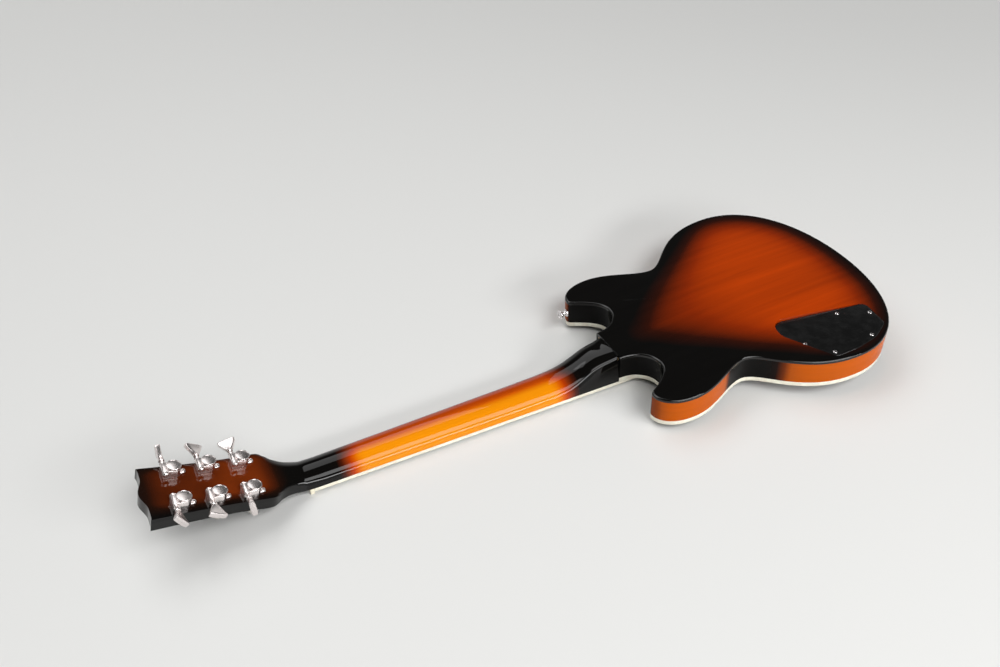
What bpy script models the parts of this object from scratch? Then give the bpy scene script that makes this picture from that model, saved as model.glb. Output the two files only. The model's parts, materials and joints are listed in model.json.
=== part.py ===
"""Semi-hollow electric guitar lying on its strings, back up.

Metres, +Z up, +X from the headstock to the tail, +Y the bass side.
The strings lie in the plane of the floor, the neck is level above them, and the
body is set to the neck at a small angle, so its tail end stands higher.
"""

import math

import bmesh
import bpy
from mathutils import Matrix, Vector

MM = 0.001
GAP = 0.3 * MM

# Strings and neck
SCALE_LENGTH = 628 * MM
FRETS = 22
NUT_X = -310.9 * MM
NUT_HALF_WIDTH = 21.5 * MM
LAST_FRET_HALF_WIDTH = 28.5 * MM
BOARD_FACE_Z = 2.6 * MM
BOARD_UNDERSIDE_Z = 7.3 * MM
NECK_FACE_Z = BOARD_UNDERSIDE_Z + GAP
NECK_DEPTH = 16.4 * MM
BOARD_END_X = 457 * MM
BOARD_BINDING = 1.6 * MM
STRING_DIAMETERS = [d * MM for d in (1.17, 0.91, 0.66, 0.43, 0.33, 0.25)]
STRING_NAMES = ["low_e", "a", "d", "g", "b", "high_e"]
NUT_SPREAD = 35.0 * MM
BRIDGE_SPREAD = 51.5 * MM

# Headstock
HEAD_TILT = math.radians(15.24)
HEAD_THICKNESS = 14.6 * MM
HEAD_ROOT_X = -5.0 * MM
HEAD_END = 178.2 * MM
HEAD_CROWN = 6.0 * MM
CROWN_HALF_WIDTH = 24 * MM
EAR_START = 33 * MM
EAR_FLICK = 1.2 * MM
TUNER_ALONG = [a * MM for a in (68.0, 105.5, 143.0)]
TUNER_SIDE = 24.5 * MM
POST_RADIUS = 3.0 * MM
POST_WAIST = 2.4 * MM
WORM_AHEAD = 9.5 * MM
WORM_HEIGHT = 6.6 * MM
WORM_RADIUS = 3.3 * MM
WORM_END_SIDE = 35.5 * MM

# Body, in its own frame: u from the neck joint to the tail, v to the bass side, w from face to back
NECK_JOINT_X = 405 * MM
BODY_FRONT_U = 2.5 * MM
BODY_PITCH = math.radians(2.58)
RIM_DEPTH = 41.0 * MM
RIM_WALL = 4.5 * MM
FACE_ARCH = 3.5 * MM
BACK_ARCH = 4.0 * MM
ARCH_CENTRE = (195 * MM, 0.0)
TOP_THICKNESS = 3.8 * MM
BACK_INSIDE_W = 37.0 * MM
TOP_BINDING_HEIGHT = 6.3 * MM
TOP_BINDING_DEPTH = 2.0 * MM
BACK_EDGE_ROUND = 1.2 * MM
BLOCK_HALF_WIDTH = 43 * MM
BLOCK_END = 375 * MM
TENON_HALF_WIDTH = 19 * MM
TENON_END_X = 455 * MM
TENON_TOP_Z = 31 * MM
BRIDGE_U = 223.5 * MM
TAILPIECE_U = 267 * MM
BRIDGE_POST_SIDE = 37 * MM
STUD_SIDE = 41 * MM
STRING_ANCHOR_DEPTH = 9.6 * MM
WRAPS = 1.5
POINTS_A_WRAP = 16
PICKUPS = {"neck": (77.5 * MM, -7.4 * MM), "bridge": (183 * MM, -12.1 * MM)}
KNOBS = {
    "volume_neck": (258 * MM, -88 * MM),
    "volume_bridge": (300 * MM, -104 * MM),
    "tone_neck": (258 * MM, -126 * MM),
    "tone_bridge": (298 * MM, -141 * MM),
}
TOGGLE = (222 * MM, -84 * MM)
JACK = (337 * MM, -119 * MM)
STRAP_BUTTON_W = 21.5 * MM

# Knots of the body's half outline: place, heading in degrees, handle before and after
OUTLINE = [
    ((2.5, 28.6), 0, 0, 22),
    ((41.0, 60.0), 90, 18, 13),
    ((10.0, 93.8), 151, 22, 5),
    ((1.2, 103.0), 90, 5, 12),
    ((47.0, 131.2), 0, 32, 36),
    ((135.8, 105.2), 0, 24, 28),
    ((269.5, 170.4), 0, 84, 75),
    ((388.0, 0.0), -90, 96, 0),
]
MOST_TURN = math.radians(13)
MOST_CHORD = 40 * MM

# Corners of the control cover and the radius that rounds each
COVER_CORNERS = [
    (203.0, -68.5, 17),
    (201.5, -98.0, 22),
    (238.0, -160.0, 8),
    (270.0, -160.5, 60),
    (305.0, -155.5, 60),
    (333.0, -140.5, 8),
    (338.5, -97.5, 9),
]


# Scene helpers


def clear_scene():
    for obj in list(bpy.data.objects):
        bpy.data.objects.remove(obj, do_unlink=True)


def finish(name, colour, roughness, metallic=0.0):
    made = bpy.data.materials.new(name)
    made.use_nodes = True
    shader = made.node_tree.nodes["Principled BSDF"]
    shader.inputs["Base Color"].default_value = (*colour, 1.0)
    shader.inputs["Roughness"].default_value = roughness
    shader.inputs["Metallic"].default_value = metallic
    return made


def frame(name, parent=None, location=(0, 0, 0), turn=(0, 0, 0)):
    empty = bpy.data.objects.new(name, None)
    bpy.context.scene.collection.objects.link(empty)
    empty.location = location
    empty.rotation_euler = turn
    empty.parent = parent
    return empty


def piece(name, bm, made_of, parent, location=(0, 0, 0), turn=(0, 0, 0), smooth=40):
    """Turns a bmesh into a named object, round faces shaded smooth."""
    bmesh.ops.recalc_face_normals(bm, faces=bm.faces)
    mesh = bpy.data.meshes.new(name)
    bm.to_mesh(mesh)
    bm.free()
    mesh.shade_smooth()
    mesh.set_sharp_from_angle(angle=math.radians(smooth))
    return placed(name, mesh, made_of, parent, location, turn)


def placed(name, mesh, made_of, parent, location=(0, 0, 0), turn=(0, 0, 0)):
    obj = bpy.data.objects.new(name, mesh)
    bpy.context.scene.collection.objects.link(obj)
    if made_of and not mesh.materials:
        mesh.materials.append(made_of)
    obj.parent = parent
    obj.location = location
    obj.rotation_euler = turn
    return obj


def helper(name, bm, parent, location=(0, 0, 0), turn=(0, 0, 0)):
    """A cutter or an operand, which isn't a piece of the guitar."""
    obj = piece(name, bm, None, parent, location, turn)
    obj.hide_render = True
    obj.display_type = "WIRE"
    return obj


def combine(obj, other, operation="DIFFERENCE"):
    modifier = obj.modifiers.new(other.name, "BOOLEAN")
    modifier.operation = operation
    modifier.solver = "EXACT"
    modifier.object = other


def baked(obj, helpers=()):
    """The object's mesh with its modifiers done, for copies that share it."""
    bpy.context.view_layer.update()
    graph = bpy.context.evaluated_depsgraph_get()
    mesh = bpy.data.meshes.new_from_object(obj.evaluated_get(graph))
    for used in (obj, *helpers):
        bpy.data.objects.remove(used, do_unlink=True)
    return mesh


# Shape helpers


def loft(rings):
    """A closed solid through rings of equally many points, flat at both ends."""
    bm = bmesh.new()
    loops = [[bm.verts.new(point) for point in ring] for ring in rings]
    for first, second in zip(loops, loops[1:]):
        for i in range(len(first)):
            j = (i + 1) % len(first)
            bm.faces.new((first[i], first[j], second[j], second[i]))
    bm.faces.new(loops[0])
    bm.faces.new(loops[-1])
    return bm


def prism(outline, low, high):
    bm = bmesh.new()
    base = bm.faces.new([bm.verts.new((x, y, low)) for x, y in outline])
    made = bmesh.ops.extrude_face_region(bm, geom=[base])["geom"]
    moved = [item for item in made if isinstance(item, bmesh.types.BMVert)]
    bmesh.ops.translate(bm, verts=moved, vec=(0, 0, high - low))
    return bm


def box(low, high):
    corners = [(low[0], low[1]), (high[0], low[1]), (high[0], high[1]), (low[0], high[1])]
    return prism(corners, low[2], high[2])


def turned(profile, segments):
    """Spins (radius, height) pairs round Z. A profile off the axis is closed on itself."""
    bm = bmesh.new()
    verts = [bm.verts.new((radius, 0, height)) for radius, height in profile]
    pairs = list(zip(verts, verts[1:]))
    if profile[0][0] > 0:
        pairs.append((verts[-1], verts[0]))
    edges = [bm.edges.new(pair) for pair in pairs]
    bmesh.ops.spin(
        bm, geom=verts + edges, cent=(0, 0, 0), axis=(0, 0, 1),
        angle=2 * math.pi, steps=segments, use_merge=True,
    )
    bmesh.ops.remove_doubles(bm, verts=bm.verts, dist=1e-7)
    return bm


def cylinder(radius, low, high, segments=16):
    return turned([(0, low), (radius, low), (radius, high), (0, high)], segments)


def merged(parts, moves):
    """Several bmeshes as one, each moved by its own vector."""
    whole = bmesh.new()
    for part, move in zip(parts, moves):
        bmesh.ops.translate(part, verts=part.verts, vec=move)
        mesh = bpy.data.meshes.new("part")
        part.to_mesh(mesh)
        part.free()
        whole.from_mesh(mesh)
        bpy.data.meshes.remove(mesh)
    return whole


def arc(centre, radius, start, end, steps):
    angles = [math.radians(start + (end - start) * i / steps) for i in range(steps + 1)]
    return [(centre[0] + radius * math.cos(a), centre[1] + radius * math.sin(a)) for a in angles]


def rounded_polygon(corners, steps=4):
    """The outline through (x, y, radius) corners in order, each corner an arc."""
    points = []
    for before, here, after in zip(corners[-1:] + corners[:-1], corners, corners[1:] + corners[:1]):
        at = Vector(here[:2])
        back = (Vector(before[:2]) - at).normalized()
        ahead = (Vector(after[:2]) - at).normalized()
        half_angle = back.angle(ahead) / 2
        reach = here[2] / math.tan(half_angle)
        middle = at + (back + ahead).normalized() * here[2] / math.sin(half_angle)
        start = at + back * reach - middle
        sweep = start.angle_signed(at + ahead * reach - middle)
        for i in range(steps + 1):
            turn = -sweep * i / steps
            points.append((
                middle.x + start.x * math.cos(turn) - start.y * math.sin(turn),
                middle.y + start.x * math.sin(turn) + start.y * math.cos(turn),
            ))
    return points


def rounded_rectangle(length, width, radius, steps=3):
    x, y = length / 2, width / 2
    return rounded_polygon([(x, -y, radius), (x, y, radius), (-x, y, radius), (-x, -y, radius)], steps)


# The body's outline


def bezier(start, end, t):
    (p, heading_p, _, handle_p), (q, heading_q, handle_q, _) = start, end
    p, q = Vector(p), Vector(q)
    a = p + handle_p * Vector((math.cos(math.radians(heading_p)), math.sin(math.radians(heading_p))))
    b = q - handle_q * Vector((math.cos(math.radians(heading_q)), math.sin(math.radians(heading_q))))
    s = 1 - t
    place = s**3 * p + 3 * s * s * t * a + 3 * s * t * t * b + t**3 * q
    heading = s * s * (a - p) + 2 * s * t * (b - a) + t * t * (q - b)
    return place * MM, heading.normalized()


def half_outline():
    """(place, inward normal) pairs from the neck to the tail on the bass side, closer where it turns more."""
    fine = []
    for start, end in zip(OUTLINE, OUTLINE[1:]):
        fine += [bezier(start, end, max(i / 40, 1e-6)) for i in range(40)]
    fine.append((Vector(OUTLINE[-1][0]) * MM, Vector((0, -1))))
    kept = [fine[0]]
    turned_by = 0.0
    for before, here in zip(fine, fine[1:]):
        turned_by += before[1].angle(here[1])
        if turned_by > MOST_TURN or (here[0] - kept[-1][0]).length > MOST_CHORD:
            kept.append(here)
            turned_by = 0.0
    kept[-1] = fine[-1]
    return [(place, Vector((heading.y, -heading.x))) for place, heading in kept]


def mirrored(half):
    """The whole outline, bass side first, round the tail to the treble side."""
    treble = [(Vector((p.x, -p.y)), Vector((n.x, -n.y))) for p, n in reversed(half[:-1])]
    return half + treble


def inset(outline, distance):
    return [place + distance * inward for place, inward in outline]


def arch(t):
    """How much of the arch's height stands at t, 0 in the middle of the plate and 1 at its edge."""
    return (1 - t**3) ** 1.5


def arched_plate(outline, edge_inset, edge_w, inside_w, rise, edge_round=0.0):
    """A plate flat inside and arched outside, whose level lines are its outline drawn in."""
    edge = inset(outline, edge_inset)
    front = [Vector((edge[0].x, edge[-1].y * k)) for k in (0.5, 0.0, -0.5)]
    edge = [Vector(point) for point in edge] + front
    centre = Vector(ARCH_CENTRE)
    rings = [[(*point, inside_w) for point in edge]]
    if edge_round:
        rings.append([(*point, edge_w - edge_round) for point in edge])
        edge = [point + edge_round * (centre - point).normalized() for point in edge]
    for t in (1.0, 0.9, 0.74, 0.52, 0.28):
        rings.append([(*(centre + t * (point - centre)), edge_w + rise * arch(t)) for point in edge])
    return loft(rings)


def arch_share(u, v, outline):
    """t of the level line through (u, v)."""
    centre = Vector(ARCH_CENTRE)
    ray = Vector((u, v)) - centre
    best = 0.0
    for (p, _), (q, _) in zip(outline, outline[1:]):
        a, b = p - centre, q - centre
        area = a.cross(b)
        along_a, along_b = ray.cross(b) / area, a.cross(ray) / area
        if along_a >= 0 and along_b >= 0:
            best = max(best, along_a + along_b)
    return best


def face_w(u, v, outline):
    """Height of the face at (u, v), below the rim's plane."""
    return -FACE_ARCH * arch(arch_share(u, v, outline))


# Neck


def board_half_width(x):
    last = SCALE_LENGTH * (1 - 2 ** (-FRETS / 12))
    return NUT_HALF_WIDTH + (LAST_FRET_HALF_WIDTH - NUT_HALF_WIDTH) * x / last


def section(half_width, depth, square):
    """Half a neck's section as (y, depth) from edge to edge: an ellipse, or a square with small chamfers."""
    chamfer = 1.1 * MM
    side = [k * (depth - chamfer) / 4 for k in range(5)]
    across = [-half_width + chamfer + k * (2 * half_width - 2 * chamfer) / 6 for k in range(7)]
    boxy = [(-half_width, d) for d in side] + [(y, depth) for y in across]
    boxy += [(half_width, d) for d in reversed(side)]
    points = []
    for i, (y, d) in enumerate(boxy):
        angle = math.pi * i / (len(boxy) - 1)
        round_y, round_d = -half_width * math.cos(angle), depth * math.sin(angle)
        points.append((round_y + square * (y - round_y), round_d + square * (d - round_d)))
    return points


def head_ring(along, half_width, depth, square):
    ring = []
    for y, d in section(half_width * MM, depth * MM, square):
        x = HEAD_ROOT_X - along * MM * math.cos(HEAD_TILT) + d * math.sin(HEAD_TILT)
        z = NECK_FACE_Z + along * MM * math.sin(HEAD_TILT) + d * math.cos(HEAD_TILT)
        ring.append((x, y, z))
    return ring


def neck_ring(x, depth, square, lean=0.0):
    return [
        (x * MM - lean * d * math.tan(BODY_PITCH), y, NECK_FACE_Z + d)
        for y, d in section(board_half_width(x * MM), depth * MM, square)
    ]


def neck_loft():
    head = [
        (190, 41.2, 14.6, 1), (140, 38.0, 14.6, 1), (100, 36.4, 14.6, 1), (70, 36.6, 14.6, 1),
        (50, 37.5, 14.6, 1), (45, 36.3, 14.7, 0.95), (41, 33.4, 14.8, 0.85), (36, 29.4, 15.0, 0.7),
        (29, 25.6, 15.3, 0.5), (21, 23.0, 15.7, 0.3), (12, 21.9, 16.1, 0.15), (4, 21.5, 16.4, 0.05),
    ]
    shaft = [
        (12, 16.4, 0), (100, 16.5, 0), (200, 16.8, 0), (290, 17.1, 0), (322, 17.9, 0.02),
        (338, 20.2, 0.06), (350, 24.0, 0.12), (360, 28.4, 0.2), (369, 32.6, 0.27), (378, 35.9, 0.34),
        (388, 37.6, 0.4), (398, 38.1, 0.44),
    ]
    rings = [head_ring(*row) for row in head] + [neck_ring(*row) for row in shaft]
    joint = (NECK_JOINT_X + BODY_FRONT_U - GAP) / MM
    rings.append(neck_ring(joint, 38.3, 0.48, lean=1.0))
    return loft(rings)


def head_end(y):
    """How far along the headstock ends: a low crown in the middle and a small flick at each ear."""
    swell = math.cos(math.pi / 2 * min(abs(y), CROWN_HALF_WIDTH) / CROWN_HALF_WIDTH) ** 2
    flick = max(0.0, (abs(y) - EAR_START) / (8 * MM)) ** 2
    return HEAD_END + HEAD_CROWN * swell + EAR_FLICK * flick


def head_end_cutter():
    """Trims the headstock's end."""
    half = 44
    outline = [(-head_end(y * MM), y * MM) for y in range(-half, half + 1, 4)]
    beyond = HEAD_END + 30 * MM
    outline += [(-beyond, half * MM), (-beyond, -half * MM)]
    return prism(outline, -4 * MM, 20 * MM)


def make_neck(guitar, head, wood):
    neck = piece("neck", neck_loft(), wood, guitar, smooth=32)
    tenon_low = (400 * MM, -TENON_HALF_WIDTH, NECK_FACE_Z)
    tenon = helper("tenon", box(tenon_low, (TENON_END_X, TENON_HALF_WIDTH, TENON_TOP_Z)), guitar)
    combine(neck, tenon, "UNION")
    combine(neck, helper("head_end_cutter", head_end_cutter(), head))
    holes = [cylinder(POST_RADIUS + 0.4 * MM, -4 * MM, 20 * MM, 14) for _ in range(6)]
    spots = [(-along, side * TUNER_SIDE, 0) for along in TUNER_ALONG for side in (1, -1)]
    combine(neck, helper("post_holes", merged(holes, spots), head))
    rod_slot = box((-10 * MM, -3.3 * MM, 0), (396 * MM, 3.3 * MM, 18 * MM))
    combine(neck, helper("rod_slot", rod_slot, guitar))
    rod_pocket = box((-26 * MM, -5.5 * MM, -4 * MM), (-4 * MM, 5.5 * MM, 9 * MM))
    combine(neck, helper("rod_pocket", rod_pocket, head))
    return neck


def make_truss_rod(guitar, head, steel, plastic):
    rod_z = 14.4 * MM
    profile = [(0, -17), (3.2, -17), (3.2, -8), (2.6, -7.5), (2.6, 394), (0, 394)]
    rod = turned([(r * MM, x * MM) for r, x in profile], 10)
    piece("truss_rod", rod, steel, guitar, (0, 0, rod_z), (0, math.pi / 2, 0))
    bell = rounded_polygon([
        (-3.0 * MM, -9 * MM, 2 * MM), (-3.0 * MM, 9 * MM, 2 * MM),
        (-24 * MM, 12 * MM, 5 * MM), (-40 * MM, 0, 5 * MM), (-24 * MM, -12 * MM, 5 * MM),
    ])
    piece("truss_rod_cover", prism(bell, -2.0 * MM, -GAP), plastic, head)


def make_fingerboard(guitar, rosewood):
    """Board and frets as one side profile drawn out across the tapering board."""
    profile = [(GAP, BOARD_UNDERSIDE_Z), (BOARD_END_X, BOARD_UNDERSIDE_Z), (BOARD_END_X, BOARD_FACE_Z)]
    crown = [(1.2, 0.0), (0.85, 0.75), (0.0, 1.05), (-0.85, 0.75), (-1.2, 0.0)]
    for n in range(FRETS, 0, -1):
        x = SCALE_LENGTH * (1 - 2 ** (-n / 12))
        profile += [(x + dx * MM, BOARD_FACE_Z - rise * MM) for dx, rise in crown]
    profile.append((GAP, BOARD_FACE_Z))
    rim = BOARD_BINDING + GAP
    rings = [[(x, side * (board_half_width(x) - rim), z) for x, z in profile] for side in (-1, 1)]
    return piece("fingerboard", loft(rings), rosewood, guitar)


def make_board_binding(guitar, cream):
    """One strip up the treble edge, across the body end and back down the bass edge."""
    end_x = BOARD_END_X + GAP + BOARD_BINDING
    outer = [(GAP, board_half_width(GAP)), (end_x, board_half_width(end_x))]
    inner = [(x, board_half_width(x) - BOARD_BINDING) for x in (GAP, BOARD_END_X + GAP)]
    outline = outer + [(x, -y) for x, y in reversed(outer)]
    outline += [(x, -y) for x, y in inner] + list(reversed(inner))
    return piece("fingerboard_binding", prism(outline, BOARD_FACE_Z, BOARD_UNDERSIDE_Z), cream, guitar)


def string_y(number, spread):
    return spread / 2 - spread * number / 5


def make_nut(guitar, bone):
    """A block with a flat-bottomed slot for each string, which lies flush in it."""
    top = [(-NUT_HALF_WIDTH, 0.0)]
    for number in reversed(range(6)):
        y, d = string_y(number, NUT_SPREAD), STRING_DIAMETERS[number]
        half, depth = d / 2 + GAP, d + GAP
        top += [(y - half, 0.0), (y - half, depth), (y + half, depth), (y + half, 0.0)]
    top += [(NUT_HALF_WIDTH, 0.0), (NUT_HALF_WIDTH, BOARD_UNDERSIDE_Z), (-NUT_HALF_WIDTH, BOARD_UNDERSIDE_Z)]
    rings = [[(x, y, z) for y, z in top] for x in (-4.9 * MM, 0.0)]
    return piece("nut", loft(rings), bone, guitar)


# Body


def make_sides(body, outline, wood):
    """The bent ribs: the back plate lies on them, and the face's binding sits in their step."""
    top_step, back_edge = TOP_BINDING_HEIGHT + GAP, BACK_INSIDE_W - GAP
    steps = [
        (0, top_step), (0, back_edge), (RIM_WALL, back_edge), (RIM_WALL, TOP_THICKNESS + GAP),
        (TOP_BINDING_DEPTH + GAP, TOP_THICKNESS + GAP), (TOP_BINDING_DEPTH + GAP, top_step),
    ]
    rings = [[(*(place + off * inward), w) for off, w in steps] for place, inward in outline]
    return piece("body_sides", loft(rings), wood, body, smooth=30)


def make_top_binding(body, outline, cream):
    steps = [(0, 0), (0, TOP_BINDING_HEIGHT), (TOP_BINDING_DEPTH, TOP_BINDING_HEIGHT), (TOP_BINDING_DEPTH, 0)]
    rings = [[(*(place + off * inward), w) for off, w in steps] for place, inward in outline]
    return piece("top_binding", loft(rings), cream, body, smooth=30)


def f_hole(body, name, side):
    """An S-shaped slot that swells in the middle, with a round eye at each end."""
    length, sway, steps = 40 * MM, 8 * MM, 12
    left, right = [], []
    for i in range(steps + 1):
        s = 2 * i / steps - 1
        u, v = length * s, -sway * math.sin(math.pi * s * 0.75)
        half = (3.6 - 2.2 * abs(s)) * MM
        left.append((u, v + half))
        right.append((u, v - half))
    slot = helper(name, prism(right + left[::-1], -12 * MM, 12 * MM), body)
    slot.location = (152 * MM, side * 80 * MM, 0)
    slot.rotation_euler = (0, 0, math.radians(7 * side))
    slot.scale = (1, side, 1)
    for end, sign in (("front", -1), ("rear", 1)):
        eye_v = -sway * math.sin(math.pi * 0.75 * sign) + sign * 2.6 * MM
        eye = helper(f"{name}_{end}", cylinder(4.6 * MM, -11 * MM, 11 * MM, 14), slot)
        eye.location = (sign * length, eye_v, 0)
        combine(slot, eye, "UNION")
    return slot


def make_top(body, guitar, outline, wood):
    plate = arched_plate(outline, TOP_BINDING_DEPTH + GAP, 0.0, TOP_THICKNESS, -FACE_ARCH)
    top = piece("body_top", plate, wood, body, smooth=30)
    for name, side in (("bass_f_hole", 1), ("treble_f_hole", -1)):
        combine(top, f_hole(body, name, side))
    holes, spots = [], []
    for u, _ in PICKUPS.values():
        holes.append(prism(rounded_rectangle(40 * MM, 72 * MM, 4 * MM), -12 * MM, 12 * MM))
        spots.append((u, 0, 0))
    for _, (u, v) in KNOBS.items():
        holes.append(cylinder(4.9 * MM, -12 * MM, 12 * MM, 12))
        spots.append((u, v, 0))
    round_holes = [
        (TOGGLE, 6.3), (JACK, 5.0), ((BRIDGE_U, BRIDGE_POST_SIDE), 3.4), ((BRIDGE_U, -BRIDGE_POST_SIDE), 3.4),
        ((TAILPIECE_U, STUD_SIDE), 4.9), ((TAILPIECE_U, -STUD_SIDE), 4.9),
    ]
    for (u, v), radius in round_holes:
        holes.append(cylinder(radius * MM, -12 * MM, 12 * MM, 12))
        spots.append((u, v, 0))
    combine(top, helper("face_holes", merged(holes, spots), body))
    combine(top, mortise(guitar))
    return top


def mortise(guitar):
    if "mortise" in bpy.data.objects:
        return bpy.data.objects["mortise"]
    half = TENON_HALF_WIDTH + GAP
    pocket = box((398 * MM, -half, -6 * MM), (TENON_END_X + GAP, half, TENON_TOP_Z + GAP))
    return helper("mortise", pocket, guitar)


def cover_outline(inward=0.0):
    """The control cover's outline, drawn in by a distance."""
    points = [Vector(point) * MM for point in rounded_polygon(COVER_CORNERS)]
    drawn = []
    for before, here, after in zip(points[-1:] + points[:-1], points, points[1:] + points[:1]):
        along = (after - before).normalized()
        drawn.append(here + inward * Vector((-along.y, along.x)))
    return [(point.x, point.y) for point in drawn]


def make_back(body, outline, wood):
    plate = arched_plate(outline, 0.0, RIM_DEPTH, BACK_INSIDE_W, BACK_ARCH, BACK_EDGE_ROUND)
    back = piece("body_back", plate, wood, body, smooth=30)
    recess = prism(cover_outline(-0.4 * MM), RIM_DEPTH - 2.1 * MM, 60 * MM)
    combine(back, helper("cover_recess", recess, body))
    opening = prism(cover_outline(6 * MM), 20 * MM, 50 * MM)
    combine(back, helper("cavity_opening", opening, body))
    return back


def make_centre_block(body, guitar, maple):
    front, narrow, wide = BODY_FRONT_U, 23.6 * MM, BLOCK_HALF_WIDTH
    half = [(front, narrow), (47 * MM, narrow), (58 * MM, wide), (BLOCK_END, wide)]
    outline = half + [(u, -v) for u, v in reversed(half)]
    low, high = TOP_THICKNESS + GAP, BACK_INSIDE_W - GAP
    block = piece("centre_block", prism(outline, low, high), maple, body)
    combine(block, mortise(guitar))
    holes, spots = [], []
    for u, _ in PICKUPS.values():
        holes.append(prism(rounded_rectangle(40 * MM, 72 * MM, 4 * MM, 2), -3 * MM, 21 * MM))
        spots.append((u, 0, 0))
    for u, v, radius in ((BRIDGE_U, BRIDGE_POST_SIDE, 3.4), (TAILPIECE_U, STUD_SIDE, 4.9)):
        for side in (1, -1):
            holes.append(cylinder(radius * MM, -3 * MM, 30 * MM, 12))
            spots.append((u, side * v, 0))
    combine(block, helper("block_holes", merged(holes, spots), body))
    return block


def make_control_cover(body, plastic):
    plate = prism(cover_outline(), RIM_DEPTH - 1.8 * MM, RIM_DEPTH + 0.2 * MM)
    return piece("control_cover", plate, plastic, body)


def make_strap_buttons(body, outline, chrome):
    """Turned buttons: base flange, waist, wide outer flange with a shallow screw seat."""
    shape = [
        (0, 0), (5.4, 0), (5.2, 1.4), (3.2, 3.0), (2.9, 7.2), (6.9, 9.6), (7.0, 10.8), (6.0, 12.0), (0, 12.0),
    ]
    profile = [(r * MM, h * MM) for r, h in shape]
    tip = min(outline, key=lambda pair: pair[0].x if pair[0].y > 60 * MM else 1.0)
    horn_at = (tip[0].x - GAP, tip[0].y, STRAP_BUTTON_W)
    tail_at = (outline[len(outline) // 2][0].x + GAP, 0, STRAP_BUTTON_W)
    piece("strap_button_horn", turned(profile, 14), chrome, body, horn_at, (0, -math.pi / 2, 0))
    piece("strap_button_tail", turned(profile, 14), chrome, body, tail_at, (0, math.pi / 2, 0))


# Pickups, bridge and tailpiece


def make_pickup(body, name, u, cover_w, outline, chrome, plastic):
    """A metal-covered coil pair with six pole screws, in its plastic ring."""
    surface_w = face_w(u, 0, outline)
    shell = prism(rounded_rectangle(38 * MM, 70 * MM, 3.5 * MM), cover_w, 13 * MM)
    lid = [face for face in shell.faces if abs(face.calc_center_median().z - cover_w) < 1e-6]
    bmesh.ops.inset_region(shell, faces=lid, thickness=1.0 * MM)
    bmesh.ops.translate(shell, verts=list({v for face in lid for v in face.verts}), vec=(0, 0, -0.8 * MM))
    pickup = piece(f"pickup_{name}", shell, chrome, body, (u, 0, 0))
    poles = [cylinder(2.0 * MM, cover_w - 1.4 * MM, cover_w + 1 * MM, 8) for _ in range(6)]
    pole_u = -10 * MM if name == "neck" else 10 * MM
    pole_spots = [(pole_u, 10.2 * MM * (k - 2.5), 0) for k in range(6)]
    combine(pickup, helper(f"poles_{name}", merged(poles, pole_spots), body, (u, 0, 0)), "UNION")
    outer = rounded_rectangle(45 * MM, 90 * MM, 4 * MM)
    ring_low = surface_w - (3.2 * MM if name == "neck" else 6.5 * MM)
    ring = piece(f"pickup_ring_{name}", prism(outer, ring_low, surface_w - GAP), plastic, body, (u, 0, 0))
    window = prism(rounded_rectangle(39 * MM, 71 * MM, 4 * MM), -30 * MM, 12 * MM)
    combine(ring, helper(f"ring_window_{name}", window, body, (u, 0, 0)))


def string_plane_w(u):
    """Where the plane of the strings cuts the body frame's upright at u."""
    return -(NECK_FACE_Z + u * math.sin(BODY_PITCH)) / math.cos(BODY_PITCH)


def under_strings(u, x, y, depth):
    """Guitar-frame place of a point given from the strings' plane at u, square to the body's face."""
    along, w = u + x, string_plane_w(u) + depth
    return Vector((
        NECK_JOINT_X + along * math.cos(BODY_PITCH) - w * math.sin(BODY_PITCH), y,
        NECK_FACE_Z + along * math.sin(BODY_PITCH) + w * math.cos(BODY_PITCH),
    ))


def saddle_offset(number):
    """How far each saddle is set back for its string, for true notes up the neck."""
    return (2.2 - 0.75 * number) * MM


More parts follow.
